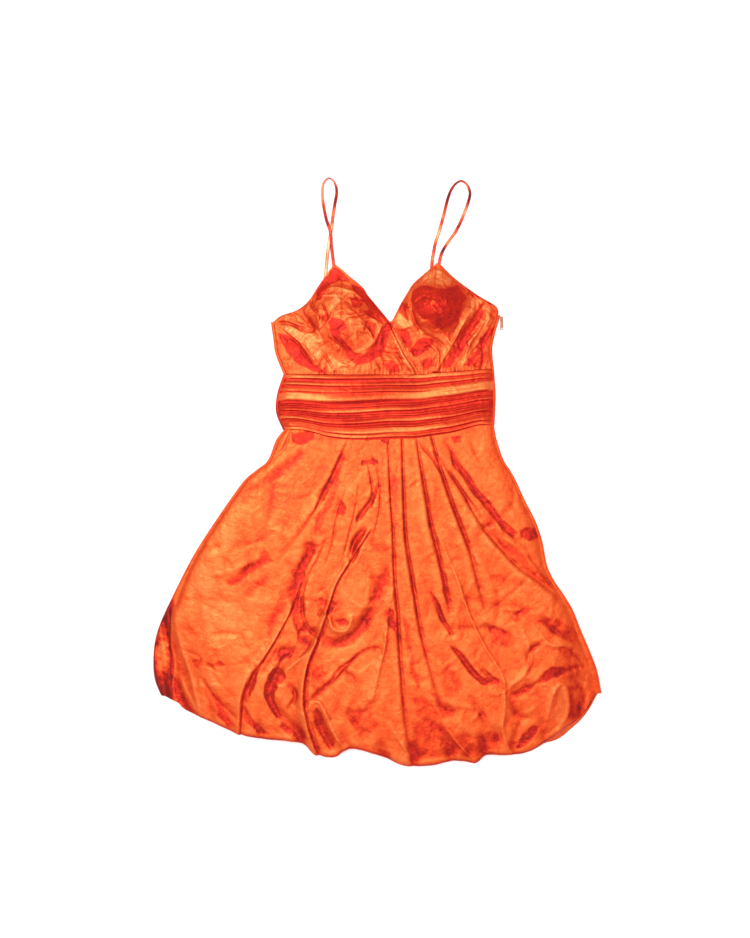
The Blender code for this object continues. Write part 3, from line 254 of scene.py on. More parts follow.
# Patches of painted shade, or painted highlight where the tone is below 0, each also sunk by its drop:
# tone, drop, softness of the edge, outline
SKIRT_SHADING_PATCHES = [
    (0.45, 0.6, 1.7, [(-265, -198), (-246, -185), (-236, -170), (-212, -162), (-206, -144),
                      (-198, -130), (-189, -150), (-180, -159), (-201, -164), (-224, -176),
                      (-244, -197)]),
    (0.35, 0.3, 1.1, [(-306, -130), (-282, -127), (-274, -134), (-294, -138)]),
    (0.3, 0.3, 1.1, [(-312, -214), (-288, -219), (-281, -227), (-306, -223)]),
    (0.4, 0.6, 3.9, [(-250, -54), (-230, -27), (-201, -4), (-166, 10), (-136, 37), (-125, 28),
                     (-154, -1), (-189, -22), (-218, -45), (-236, -61)]),
    (0.8, 0.8, 1.1, [(-151, 67), (-110, 69), (-112, 52), (-130, 45), (-147, 51)]),
    (0.7, 0.8, 0.8, [(-23, 71), (-11, 71), (-9, 54), (-20, 51)]),
    (0.7, 0.8, 0.8, [(-27, 18), (1, 19), (1, 11), (-26, 10)]),
    (0.7, 0.8, 0.8, [(4, 69), (20, 66), (19, 48), (9, 54)]),
    (0.3, 0.5, 2.8, [(-306, -360), (-276, -389), (-239, -424), (-239, -456), (-265, -442),
                     (-294, -412)]),
    (0.22, 0.8, 3, [(-130, -127), (-107, -121), (-120, -162), (-134, -202), (-139, -243),
                    (-154, -255), (-148, -208)]),
    (0.35, 0.5, 2.2, [(-113, -348), (-96, -337), (-84, -360), (-102, -389), (-116, -377)]),
    (0.3, 0.5, 2.8, [(-49, -430), (-20, -412), (4, -442), (-26, -471)]),
    (0.35, 0.5, 1.7, [(-66, -54), (-55, -68), (-58, -81), (-69, -74)]),
    (0.9, 0.8, 1.1, [(246, -104), (263, -97), (285, -97), (281, -114), (266, -122), (251, -118)]),
    (0.45, 0.8, 1.7, [(12, -243), (24, -240), (38, -267), (30, -281), (16, -264)]),
    (0.85, 0.8, 1.4, [(271, -367), (284, -354), (304, -341), (324, -340), (337, -344), (314, -357),
                      (289, -368)]),
    (0.7, 0.8, 1.4, [(236, -387), (254, -372), (275, -366), (263, -383), (243, -395)]),
    (0.8, 0.8, 1.1, [(242, -484), (247, -462), (269, -440), (280, -442), (267, -465), (256, -480)]),
    (0.45, 0.8, 4.4, [(61, -437), (91, -431), (132, -456), (184, -456), (216, -456), (216, -491),
                      (173, -503), (120, -495), (62, -507)]),
    (0.45, 0.5, 1.1, [(93, 37), (103, 28), (110, 8), (111, -7), (100, 10)]),
    (0.5, 0.5, 1.1, [(-14, 31), (-4, 16), (0, 5), (-9, 16)]),
    (0.5, 0.6, 1.1, [(129, 61), (149, 59), (147, 48), (135, 47)]),
    (0.35, 0.5, 1.7, [(231, -255), (260, -232), (266, -243), (243, -267)]),
    (0.3, 0.6, 2.2, [(313, -302), (342, -307), (336, -331), (318, -319)]),
    (0.35, 0.6, 2.2, [(-14, -185), (15, -179), (4, -220), (-14, -232)]),
    (0.3, 0.5, 2.8, [(97, -337), (126, -337), (149, -383), (120, -395)]),
    (0.38, 0.8, 3, [(-104, -130), (-119, -127), (-142, -173), (-157, -208), (-148, -255),
                    (-136, -302), (-119, -302), (-128, -255), (-132, -208), (-119, -162)]),
    (0.55, 0.8, 1.7, [(-110, -226), (-96, -220), (-72, -232), (-81, -246), (-102, -255)]),
    (0.6, 0.8, 1.1, [(-72, -261), (-55, -258), (-49, -267), (-64, -270)]),
    (0.42, 0.8, 3, [(-96, -284), (-72, -293), (-43, -281), (-20, -255), (4, -202), (18, -167),
                    (22, -191), (9, -232), (-14, -272), (-43, -302), (-72, -307)]),
    (0.75, 0.8, 1.1, [(4, -306), (-26, -310), (-55, -337), (-84, -369), (-113, -396), (-107, -383),
                      (-72, -348), (-37, -316), (-14, -307)]),
    (0.9, 0.8, 1.1, [(-182, -331), (-169, -310), (-147, -310), (-151, -320), (-169, -332)]),
    (0.9, 0.8, 1.1, [(-198, -372), (-189, -351), (-174, -342), (-160, -347), (-161, -363),
                     (-174, -374), (-180, -395), (-174, -418), (-163, -433), (-174, -430),
                     (-189, -410), (-195, -389)]),
    (0.6, 0.8, 1.7, [(-166, -436), (-142, -453), (-119, -482), (-125, -489), (-148, -465),
                     (-169, -447)]),
    (0.6, 0.8, 1.1, [(-108, -412), (-99, -418), (-84, -447), (-72, -474), (-81, -482), (-96, -459),
                     (-107, -436)]),
    (0.6, 0.8, 1.1, [(-214, -337), (-206, -337), (-214, -372), (-224, -396), (-225, -377)]),
    (0.55, 0.8, 1.7, [(-233, -412), (-212, -436), (-189, -456), (-206, -456), (-230, -436)]),
    (0.5, 0.6, 1.7, [(-335, -412), (-306, -424), (-274, -442), (-242, -453), (-242, -463),
                     (-282, -451), (-323, -433)]),
    (0.5, 0.6, 2.2, [(-49, -471), (-14, -477), (22, -488), (22, -503), (-20, -492), (-49, -485)]),
    (0.4, 0.5, 1.7, [(-49, -418), (-32, -407), (-26, -424), (-37, -447)]),
    (0.45, 0.5, 1.1, [(-293, -337), (-274, -331), (-265, -340), (-282, -346)]),
    (0.45, 0.5, 1.1, [(-323, -331), (-306, -325), (-303, -337), (-317, -344)]),
    (0.45, 0.6, 2.2, [(-64, 31), (-54, 19), (-72, -16), (-96, -51), (-107, -45), (-84, -10)]),
    (0.4, 0.5, 1.7, [(-72, -45), (-55, -62), (-58, -81), (-75, -74)]),
    (0.85, 0.5, 1.1, [(121, 48), (136, 22), (161, -10), (191, -51), (220, -86), (243, -109),
                      (237, -118), (214, -100), (184, -62), (155, -24), (132, 8)]),
    (0.35, 0.5, 2.2, [(184, -60), (208, -97), (237, -132), (278, -173), (313, -202), (301, -205),
                      (260, -173), (219, -132), (190, -97)]),
    (0.5, 0.6, 1.1, [(106, -144), (117, -179), (128, -226), (121, -232), (111, -191)]),
    (0.35, 0.6, 2.8, [(278, -258), (313, -255), (348, -278), (359, -302), (336, -296),
                      (301, -278)]),
    (0.65, 0.6, 1.1, [(313, -456), (336, -447), (365, -424), (376, -417), (365, -436),
                      (336, -457)]),
    (0.35, 0.5, 2.2, [(190, -272), (214, -275), (234, -287), (228, -307), (202, -302)]),
    (0.4, 0.5, 2.2, [(91, -383), (120, -395), (138, -424), (114, -430)]),
    (0.3, 0.5, 2.8, [(21, 2), (38, -22), (36, -80), (24, -57)]),
    (0.8, 0.5, 1.1, [(93, -211), (106, -229), (117, -255), (132, -285), (125, -285), (108, -255)]),
    (0.8, 0.5, 1.1, [(126, -302), (144, -316), (167, -340), (184, -359), (206, -361), (208, -369),
                     (181, -372), (158, -349), (138, -325)]),
    (0.8, 0.5, 1.1, [(-32, -103), (-21, -103), (-26, -121), (-42, -159), (-50, -156), (-46, -127)]),
    (0.7, 0.5, 1.1, [(2, -29), (-2, -45), (-20, -74), (-36, -87), (-38, -81), (-20, -57)]),
    (-0.25, 0, 2, [(-329, -202), (-294, -179), (-253, -202), (-224, -220), (-206, -255),
                   (-224, -302), (-259, -290), (-294, -255), (-329, -243)]),
    (-0.25, 0, 2, [(-55, -185), (-26, -179), (-2, -202), (-26, -243), (-49, -255), (-64, -220)]),
    (-0.25, 0, 2, [(-26, -331), (9, -331), (21, -372), (4, -418), (-20, -395), (-37, -360)]),
    (0.4, 0.3, 1.5, [(-107, -80), (-93, -54), (-72, -16), (-64, -22), (-81, -60), (-99, -97),
                     (-113, -115)]),
    (0.35, 0.3, 1.5, [(-166, -202), (-148, -173), (-136, -162), (-142, -191), (-166, -243),
                      (-189, -290), (-194, -278)]),
    (-0.25, 0, 2, [(44, 13), (68, 8), (85, -57), (103, -121), (97, -138), (74, -103), (56, -45)]),
    (-0.25, 0, 2, [(161, -57), (178, -80), (231, -150), (260, -173), (243, -185), (202, -138),
                   (173, -97)]),
    (0.35, 0.3, 1.5, [(62, -395), (79, -389), (108, -424), (132, -453), (120, -462), (91, -442),
                      (68, -424)]),
    (0.35, 0.3, 1.5, [(44, -255), (51, -255), (62, -325), (74, -372), (68, -377), (53, -331)]),
    (0.4, 0.3, 1.2, [(266, -302), (273, -307), (270, -337), (260, -360), (256, -357), (262, -331)]),
    (-0.3, 0, 1.5, [(313, -372), (327, -374), (330, -407), (316, -436), (306, -430), (314, -401)]),
    (-0.25, 0, 1.5, [(336, -360), (359, -366), (371, -389), (359, -412), (345, -395)]),
    (0.8, 0.3, 0.8, [(295, -471), (313, -460), (336, -448), (359, -430), (364, -435), (340, -455),
                     (316, -468)]),
    (0.8, 0.3, 0.8, [(336, -472), (365, -449), (386, -417), (391, -419), (369, -454), (342, -478)]),
    (-0.4, 0, 0.8, [(313, -453), (342, -437), (371, -415), (388, -394), (391, -400), (372, -421),
                    (343, -443), (316, -459)]),
    (0.6, 0.3, 1, [(-355, -354), (-341, -389), (-322, -423), (-330, -425), (-348, -395),
                   (-360, -372)]),
    (-0.4, 0, 0.8, [(-352, -331), (-336, -372), (-312, -417), (-317, -419), (-342, -377),
                    (-356, -337)]),
    (0.6, 0.3, 1, [(-282, -402), (-259, -424), (-246, -442), (-259, -444), (-279, -424)]),
    (-0.35, 0, 0.8, [(-120, -456), (-127, -424), (-119, -402), (-100, -398), (-88, -419),
                     (-69, -456), (-51, -481), (-58, -484), (-77, -456), (-96, -421), (-106, -408),
                     (-116, -418), (-113, -456)]),
    (-0.35, 0, 0.8, [(-104, -232), (-90, -249), (-79, -272), (-55, -275), (-46, -261), (-41, -267),
                     (-51, -282), (-81, -281), (-94, -256), (-110, -237)]),
    (-0.35, 0, 0.8, [(-163, -349), (-142, -332), (-119, -313), (-117, -318), (-139, -338),
                     (-159, -355)]),
    (0.4, 0.3, 1.5, [(13, -234), (28, -242), (33, -278), (44, -307), (27, -278), (16, -255)]),
    (0.3, 0.3, 2.5, [(-224, -202), (-198, -179), (-189, -185), (-206, -208), (-230, -232),
                     (-242, -226)]),
    (0.3, 0.3, 2, [(-265, -191), (-246, -178), (-206, -159), (-195, -150), (-198, -167),
                   (-230, -185), (-256, -202)]),
    (-0.2, 0, 3, [(-306, -232), (-247, -226), (-206, -202), (-189, -232), (-206, -302),
                  (-253, -337), (-282, -307), (-312, -278)]),
]


class Curve:
    """A smooth line through a few points, read by its share of the length."""

    STEPS = 10                 # from one point to the next

    def __init__(self, points):
        knots = np.array(points, float)
        knots = np.vstack([2 * knots[0] - knots[1], knots, 2 * knots[-1] - knots[-2]])
        t = np.linspace(0, 1, self.STEPS, endpoint=False)[:, None]
        spans = []
        for a, b, c, d in zip(knots, knots[1:], knots[2:], knots[3:]):
            bend = 2 * a - 5 * b + 4 * c - d
            twist = 3 * b - a - 3 * c + d
            spans.append(0.5 * (2 * b + (c - a) * t + bend * t**2 + twist * t**3))
        self.line = np.vstack(spans + [knots[-2:-1]])
        legs = np.linalg.norm(np.diff(self.line[:, :2], axis=0), axis=1)
        walked = np.concatenate([[0], np.cumsum(legs)])
        self.length = walked[-1]
        self.share = walked / self.length

    def at(self, share):
        return np.stack([np.interp(share, self.share, axis) for axis in self.line.T], axis=-1)

    def nearest(self, point):
        """Share of the length at the place nearest to a point."""
        gaps = np.linalg.norm(self.line[:, :2] - np.array(point), axis=1)
        return self.share[int(np.argmin(gaps))]


def smooth_step(value, low, high):
    t = np.clip((value - low) / (high - low), 0, 1)
    return t * t * (3 - 2 * t)


def fold_profile(kind, across, width):
    """Height across a fold of height 1, from its signed distance to the line.

    Its numbers are shares of the fold's half width and height.
    """
    if kind == "soft":
        return np.exp(-(across / width)**2)
    if kind in ("sharp", "line"):
        away = np.sqrt((across / width)**2 + 0.02)
        return np.exp(-1.5 * (away - 0.14))
    if kind == "cleft":
        lip = np.exp(-((across + 2.2 * width) / (2.0 * width))**2)
        return 0.35 * lip - np.exp(-np.abs(across / width)**1.5)
    away = -across
    crest = 0.2 * width
    spread = np.where(away > crest, 1.15 * width, 0.27 * width)
    ridge = np.exp(-((away - crest) / spread)**2)
    return ridge - 0.45 * np.exp(-((away + 0.5 * width) / (0.35 * width))**2)


FOLD_STEP = 5.0            # along a fold, between the places where its height is worked out
LEAST_STEPS = 24


def fold_height(x, y, folds):
    """Sum of the folds at points of the plan, ridges up and troughs down."""
    total = np.zeros(x.shape)
    for kind, start_width, end_width, heights, points in folds:
        curve = Curve(points)
        count = max(LEAST_STEPS, int(curve.length / FOLD_STEP))
        track = curve.at(np.linspace(0, 1, count))
        steps = np.gradient(track, axis=0)
        steps /= np.linalg.norm(steps, axis=1)[:, None]
        reach = 3 * max(start_width, end_width)
        low, high = track.min(axis=0) - reach, track.max(axis=0) + reach
        inside = (x > low[0]) & (x < high[0]) & (y > low[1]) & (y < high[1])
        here_x, here_y = x[inside], y[inside]
        away_x = here_x[:, None] - track[:, 0]
        away_y = here_y[:, None] - track[:, 1]
        near = np.argmin(away_x**2 + away_y**2, axis=1)
        rows = np.arange(len(near))
        away_x, away_y = away_x[rows, near], away_y[rows, near]
        ahead = steps[near]
        across = ahead[:, 0] * away_y - ahead[:, 1] * away_x
        along = ahead[:, 0] * away_x + ahead[:, 1] * away_y
        share = np.clip((near + along * (count - 1) / curve.length) / (count - 1), 0, 1)
        beyond = np.where((near == 0) | (near == count - 1), np.abs(along), 0)
        width = start_width + (end_width - start_width) * share
        height = np.interp(share, (0, 0.5, 1), heights) * np.exp(-(beyond / width)**2)
        total[inside] += height * fold_profile(kind, across, width)
    return total


# Strength of a patch's painted shade or highlight
PATCH_SHADING = 0.75          # how far a patch changes the satin, for a tone of 1
SLOW_WAVER, QUICK_WAVER = 1.5, 0.6


def gap_inside(px, py, corners):
    """Distance from an outline: above 0 inside it, and below 0 outside."""
    crossed, closest = np.zeros(px.shape, bool), np.full(px.shape, np.inf)
    for (ax, ay), (bx, by) in zip(corners, np.roll(corners, -1, axis=0)):
        share = ((px - ax) * (bx - ax) + (py - ay) * (by - ay)) / ((bx - ax)**2 + (by - ay)**2)
        share = np.clip(share, 0, 1)
        gap = np.hypot(px - ax - share * (bx - ax), py - ay - share * (by - ay))
        closest = np.minimum(closest, gap)
        if ay != by:
            spans = (ay > py) != (by > py)
            crossed ^= spans & (px < ax + (py - ay) * (bx - ax) / (by - ay))
    return np.where(crossed, closest, -closest)


def patch_shading_and_depth(x, y, dents, streaky):
    """Painted shade or highlight (tone), and the height that the patches add. Their outlines waver by
    up to 2 mm.
    """
    tone, height = np.zeros(x.shape), np.zeros(x.shape)
    wavy_x = x + SLOW_WAVER * np.sin(y / 7.1) + QUICK_WAVER * np.sin(y / 2.9 + x / 3.3)
    wavy_y = y + SLOW_WAVER * np.sin(x / 8.3) + QUICK_WAVER * np.sin(x / 3.1 + y / 2.9)
    for painted_tone, drop, softness, outline in dents:
        corners = np.array(outline, float)
        low, high = corners.min(axis=0) - 3 * softness - 3, corners.max(axis=0) + 3 * softness + 3
        near = (x > low[0]) & (x < high[0]) & (y > low[1]) & (y < high[1])
        px, py = wavy_x[near], wavy_y[near]
        depth = smooth_step(gap_inside(px, py, corners), -1.4 * softness, 1.6 * softness)
        streaks = 1 - streaky + streaky * np.sin(px / 3.1 + 1.6 * np.sin(py / 3.4)) * np.sin(py / 2.3)
        tone[near] += PATCH_SHADING * painted_tone * depth * streaks
        height[near] -= drop * depth
    return tone, height


def crumple(x, y, seed, count, length, width, height):
    """Small creases scattered over the cloth, each size between a least and a most."""
    dice = np.random.default_rng(seed)
    total = np.zeros(x.shape)
    for _ in range(count):
        middle_x = dice.uniform(x.min(), x.max())
        middle_y = dice.uniform(y.min(), y.max())
        turn, long = dice.uniform(0, math.pi), dice.uniform(*length)
        wide, high = dice.uniform(*width), dice.uniform(*height) * dice.choice((-1, 1))
        bend = dice.uniform(-0.4, 0.4) / long
        away_x, away_y = x - middle_x, y - middle_y
        along = away_x * math.cos(turn) + away_y * math.sin(turn)
        across = away_y * math.cos(turn) - away_x * math.sin(turn) + bend * along**2
        total += high * np.exp(-np.abs(across / wide)**1.4 - (along / long)**2)
    return total


def edge_round(away, radius):
    """Rises from 0 at an edge to 1 at a radius, as a quarter circle does."""
    t = 1 - np.clip(away / radius, 0, 1)
    return np.sqrt(np.clip(1 - t * t, 0, 1))


def row_distances(places):
    """Distance of each point from the left and right ends of its row."""
    legs = np.linalg.norm(np.diff(places[..., :2], axis=1), axis=2)
    walked = np.concatenate([np.zeros((len(places), 1)), np.cumsum(legs, axis=1)], axis=1)
    return walked, walked[:, -1:] - walked


# Small creases: seed, how many, and the least and most length, half width and height
SKIRT_CREASES = [(11, 900, (6, 20), (2.0, 4.2), (0.25, 0.75)),
                 (12, 130, (20, 60), (5, 11), (0.6, 1.7))]

# Height of the side seams, which rise towards the hem: y, height
SIDE_RISE_LEFT = [(-400, 12), (-330, 13), (-210, 9), (-100, 6.5), (70, SIDE_HEIGHT)]
SIDE_RISE_RIGHT = [(-390, 12), (-300, 11), (-200, 8.5), (-100, 6.5), (70, SIDE_HEIGHT)]


def side_height(y, left):
    return np.interp(y, *zip(*(SIDE_RISE_LEFT if left else SIDE_RISE_RIGHT)))


class SkirtPlan:
    """Places in the plan of the front skirt, by column and share of the way down."""

    def __init__(self):
        self.lines = [Curve(SKIRT_SEAM_LEFT)] + [Curve(points) for _, points in PLEAT_LINES]
        self.lines.append(Curve(SKIRT_SEAM_RIGHT))
        counts = [0] + [count for count, _ in PLEAT_LINES] + [LAST_COLUMNS]
        self.marks = np.cumsum(counts)
        self.columns = np.arange(self.marks[-1] + 1)
        self.top = self.edge(Curve(WAIST), 0)
        self.bottom = self.edge(Curve(HEM_FRONT), 1)
        top = self.between(np.zeros((1, len(self.columns))))[0]
        bottom = self.between(np.ones((1, len(self.columns))))[0]
        self.top_shift, self.bottom_shift = self.top - top, self.bottom - bottom
        steps = self.at(np.repeat(np.linspace(0, 1, 20)[:, None], len(self.columns), axis=1))
        self.length = np.linalg.norm(np.diff(steps, axis=0), axis=2).sum(axis=0)
        self.length[[0, -1]] = self.lines[0].length, self.lines[-1].length

    def edge(self, curve, share):
        marks = [curve.nearest(line.at(share)) for line in self.lines]
        marks[0], marks[-1] = 0, 1
        return curve.at(np.interp(self.columns, self.marks, marks))

    def between(self, share):
        places = np.zeros(share.shape + (2,))
        for column in self.columns:
            left = min(np.searchsorted(self.marks, column, side="right") - 1,
                       len(self.lines) - 2)
            part = (column - self.marks[left]) / (self.marks[left + 1] - self.marks[left])
            a = self.lines[left].at(share[:, column])
            b = self.lines[left + 1].at(share[:, column])
            places[:, column] = a + (b - a) * part
        return places

    def at(self, share):
        way = share[..., None]
        return self.between(share) + (1 - way) * self.top_shift + way * self.bottom_shift


def hem_rows(length, start, radius, turn, rows):
    """Distance in from the hem and angle round its roll, for each row."""
    main_rows, roll_rows, turn_rows = rows
    down = np.linspace(0, 1, main_rows + 1)[:, None]
    main = start + (length - start) * (1 - down)
    angle = np.linspace(0, math.pi, roll_rows + 1)[1:, None] + 0 * radius
    roll = radius * (1 - np.sin(angle))
    back = radius + turn * np.linspace(0, 1, turn_rows + 1)[1:, None]
    return (np.concatenate([main, roll, back]),
            np.concatenate([0 * main, angle, 0 * back + math.pi]))


def blurred(grid, reach):
    """Running mean over a square of a grid's points."""
    for axis in (0, 1):
        pad = [(reach + 1, reach) if a == axis else (0, 0) for a in (0, 1)]
        sums = np.cumsum(np.pad(grid, pad, mode="edge"), axis=axis)
        size = 2 * reach + 1
        grid = (np.take(sums, range(size, sums.shape[axis]), axis)
                - np.take(sums, range(sums.shape[axis] - size), axis)) / size
    return grid


# How much painted shade darkens the satin in a hollow, on a slope to the lower right (away from the key
# light) and on a steep slope
HOLLOW_SHADE, SLOPE_SHADE, STEEP_SHADE = 0.22, 0.8, 4
STEEP_FROM = 0.985         # upward part of the surface's direction where a slope counts as steep
# Limits of the painted shading: below 0 a painted highlight, above 0 painted shade
PALEST, DEEPEST = -0.6, 0.75


def painted_shading_from_shape(surface, reach=7):
    """Painted shade: darker in hollows, on steep slopes and on slopes facing the lower right, away from
    the key light; paler, as a painted highlight, on slopes facing it.
    """
    height = surface[..., 2]
    hollow = blurred(blurred(height, reach), reach) - height
    normal = np.cross(np.gradient(surface, axis=0), np.gradient(surface, axis=1))
    normal /= np.linalg.norm(normal, axis=2)[..., None]
    facing_away_from_key = 0.7 * normal[..., 0] - 0.7 * normal[..., 1]
    steep = np.maximum(0, STEEP_FROM - normal[..., 2])
    to_left, to_right = row_distances(surface)
    away = smooth_step(np.minimum(to_left, to_right), 1, 12)
    tone = hollow * HOLLOW_SHADE + facing_away_from_key * SLOPE_SHADE + steep * STEEP_SHADE
    return np.clip(tone, PALEST, DEEPEST) * away


def hem_puffs(hem):
    """Radius of the puffs with and without their pinches, and how far the hem turns in."""
    from_side = np.minimum(hem[:, 0] - hem[0, 0], hem[-1, 0] - hem[:, 0])
    inside = smooth_step(from_side, 0, SIDE_FADE)
    pinch = sum(np.exp(-((hem[:, 0] - x) / PINCH_WIDTH)**2) for x in HEM_PINCHES)
    puff = PUFF_RADIUS * (1 - PUFF_PINCH * pinch)
    radius = PUFF_RADIUS_SIDE + (puff - PUFF_RADIUS_SIDE) * inside
    full = PUFF_RADIUS_SIDE + (PUFF_RADIUS - PUFF_RADIUS_SIDE) * inside
    return radius, full, SIDE_TURN + (FRONT_TURN - SIDE_TURN) * inside


def roll_hem(surface, plan, radius, angle, lift):
    """Bend the last rows round the puffs and back inside. The folds run on round the roll."""
    rolled = LINING_ROLL + radius * (1 + np.cos(angle))
    out = np.gradient(plan.at(np.broadcast_to(np.linspace(0.97, 1, 3)[:, None],
                                              (3, len(plan.bottom)))), axis=0)[1]
    out /= np.linalg.norm(out, axis=1)[:, None]
    late = slice(MAIN_ROWS + 1, None)
    fade = lift[MAIN_ROWS] * np.cos(angle[late] / 2)**2
    surface[late, :, :2] += out * (fade * np.sin(angle[late]))[..., None]
    surface[late, :, 2] = rolled[late] + fade * np.cos(angle[late])
    surface[late, :, 2] = np.maximum(surface[late, :, 2], LINING_ROLL)


def skirt_front_surface():
    """Front of the bubble skirt: pleats from the waist, then the puffed hem turned inside."""
    plan = SkirtPlan()
    radius, full, turn = hem_puffs(plan.bottom)
    inward, angle = hem_rows(plan.length, radius, radius, turn, (MAIN_ROWS, ROLL_ROWS, TURN_ROWS))
    share = 1 - inward / plan.length
    places = plan.at(share)
    x, y = places[..., 0], places[..., 1]
    body = np.interp(share, *zip(*SKIRT_RISE))
    near_hem = smooth_step(share, 0.6, 0.97)
    top = body * (1 - near_hem) + (LINING_ROLL + 2 * full) * near_hem
    top -= 2 * (full - radius) * smooth_step(share, 0.9, 0.99)
    tone, dents = patch_shading_and_depth(x, y, SKIRT_SHADING_PATCHES, 0.15)
    folds = fold_height(x, y, SKIRT_FOLDS) + dents
    small = sum(crumple(x, y, *creases) for creases in SKIRT_CREASES)
    small *= 0.35 + 0.65 * smooth_step(share, 0.02, 0.2)
    to_left, to_right = row_distances(places)
    reach = SIDE_ROUND + SIDE_ROUND * share
    lift = (folds + small) * (edge_round(to_left, reach) * edge_round(to_right, reach))
    top = top + lift
    top = np.maximum(top, LEAST_HEIGHT)
    left_edge, right_edge = side_height(y, True), side_height(y, False)
    top = left_edge + (top - left_edge) * edge_round(to_left, reach)
    top = right_edge + (top - right_edge) * edge_round(to_right, reach)
    surface = np.dstack([x, y, top])
    roll_hem(surface, plan, radius, angle, lift)
    # Painted shade along the last rows before the hem. The tone returned with the surface is painted
    # shade and highlight, from the shape and from the patches.
    tone += 0.24 * smooth_step(share, 0.93, 1.0) * (0.6 + 0.4 * np.sin(x / 23) * np.sin(x / 9))
    return surface, np.clip(0.85 * painted_shading_from_shape(surface) + 1.1 * tone, -0.6, 0.5)


class Reading:
    """A socket that takes part in sums, which add Math nodes as they are written."""

    def __init__(self, finish, socket):
        self.finish, self.socket = finish, socket

    def __add__(self, other):
        return self.finish.maths("ADD", self, other)

    def __sub__(self, other):
        return self.finish.maths("SUBTRACT", self, other)

    def __mul__(self, other):
        return self.finish.maths("MULTIPLY", self, other)

    __radd__ = __add__


class Finish:
    """One material, with its nodes added one by one."""

    def __init__(self, name):
        self.material = bpy.data.materials.new(name)
        self.material.use_nodes = True
        self.tree = self.material.node_tree
        self.shader = self.tree.nodes["Principled BSDF"]

    def node(self, kind, settings=(), sockets=(), output=0):
        """Add a node: its settings first, then a value or a link for each socket."""
        node = self.tree.nodes.new(kind)
        for name, value in dict(settings).items():
            if name == "stops":
                ramp = node.color_ramp
                for place, colour in value[1:-1]:
                    ramp.elements.new(place).color = (*colour, 1)
                ramp.elements[0].position, ramp.elements[-1].position = value[0][0], value[-1][0]
                ramp.elements[0].color = (*value[0][1], 1)
                ramp.elements[-1].color = (*value[-1][1], 1)
            else:
                setattr(node, name, value)
        for name, value in dict(sockets).items():
            self.feed(node.inputs[name], value)
        return Reading(self, node.outputs[output])

    def feed(self, socket, value):
        if isinstance(value, Reading):
            self.tree.links.new(value.socket, socket)
        else:
            socket.default_value = value

    def noise(self, place, scale, detail, **more):
        sockets = {"Vector": place, "Scale": scale, "Detail": detail, **more}
        return self.node("ShaderNodeTexNoise", {}, sockets)

    def maths(self, operation, *values):
        return self.node("ShaderNodeMath", {"operation": operation}, dict(enumerate(values)))

    def wear(self, **sockets):
        """Set the shader's own sockets, named with underscores for spaces."""
        for name, value in sockets.items():
            self.feed(self.shader.inputs[name.replace("_", " ")], value)
        return self.material


SATIN_ROUGHNESS, SATIN_METALLIC = 0.27, 0.75


def satin(name, stops, creases=0.7, mottle=1.0):
    """Woven satin: darker or paler where light and shade are painted into it, mottled by small
    crumples, with a fine slanting weave.
    """
    cloth = Finish(name)
    place = cloth.node("ShaderNodeTexCoord", output=3)
    # This attribute holds painted shade and highlight for each point of the cloth
    hollow = cloth.node("ShaderNodeAttribute", {"attribute_name": "hollow"}, output=2)
    broad = cloth.noise(place, 26.0, 3.0, Roughness=0.55)
    small = cloth.noise(place, 105.0, 3.0, Roughness=0.5, Distortion=0.6)
    grain = cloth.noise(place, 430.0, 2.0, Roughness=0.6)
    thread = cloth.node("ShaderNodeTexWave", {"bands_direction": "DIAGONAL"},
                        {"Vector": place, "Scale": 420.0, "Distortion": 0.4, "Detail": 1.0})
    spots = (broad - 0.5) * 0.7 + (small - 0.5) * 0.6
    tone = 0.40 + hollow * 0.9 + spots * mottle + (grain - 0.5) * 0.55
    colour = cloth.node("ShaderNodeValToRGB", {"stops": stops}, {"Fac": tone})
    relief = small * creases + thread * 0.02
    bump = cloth.node("ShaderNodeBump", {}, {"Height": relief, "Distance": 0.0016,
                                             "Strength": 0.9})
    roughness = SATIN_ROUGHNESS + small * 0.08 + thread * 0.03
    return cloth.wear(Base_Color=colour, Roughness=roughness, Metallic=SATIN_METALLIC,
                      Specular_IOR_Level=0.25, Normal=bump)


def lay(name, outer, hollow, material, thickness=0):
    """Make a piece from rows of points: one face thick, or a closed wall of cloth."""
    rows, columns = outer.shape[:2]
    number = np.arange(rows * columns).reshape(rows, columns)
    quads = [np.stack([number[:-1, :-1], number[1:, :-1], number[1:, 1:], number[:-1, 1:]],
                      axis=-1).reshape(-1, 4)]
    points, values = outer.reshape(-1, 3), np.ravel(hollow)
    if thickness:
        normal = np.cross(np.gradient(outer, axis=0), np.gradient(outer, axis=1))
        normal /= np.linalg.norm(normal, axis=2)[..., None]
        inner = outer - normal * thickness
        points = np.concatenate([points, inner.reshape(-1, 3)])
        values = np.concatenate([values, values])
        quads.append(quads[0][:, ::-1] + rows * columns)
        rim = np.concatenate([number[0, :-1], number[:-1, -1], number[-1, :0:-1],
                              number[:0:-1, 0]])
        ahead = np.roll(rim, -1)
        offset = rows * columns
        quads.append(np.stack([rim, ahead, ahead + offset, rim + offset], axis=-1))
    mesh = bpy.data.meshes.new(name)
    mesh.from_pydata((points * MM).tolist(), [], np.concatenate(quads).tolist())
    # Painted shade and highlight for each point, stored for the satin to read
    mesh.attributes.new("hollow", "FLOAT", "POINT").data.foreach_set("value", values)
    mesh.materials.append(material)
    mesh.update()
    mesh.shade_smooth()
    piece = bpy.data.objects.new(name, mesh)
    bpy.context.scene.collection.objects.link(piece)
    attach(piece, "dress")
    return piece


SKIRT_TONES = [(0.0, (0.78, 0.135, 0.034)), (0.3, (0.76, 0.095, 0.018)), (0.6, (0.66, 0.046, 0.010)),
               (0.85, (0.47, 0.015, 0.007)), (1.0, (0.24, 0.012, 0.009))]
skirt_satin = satin("skirt_satin", SKIRT_TONES, mottle=0.8)
surface, hollow = skirt_front_surface()
skirt_front = lay("skirt_front_cloth", surface, hollow, skirt_satin)
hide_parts("skirt_front")

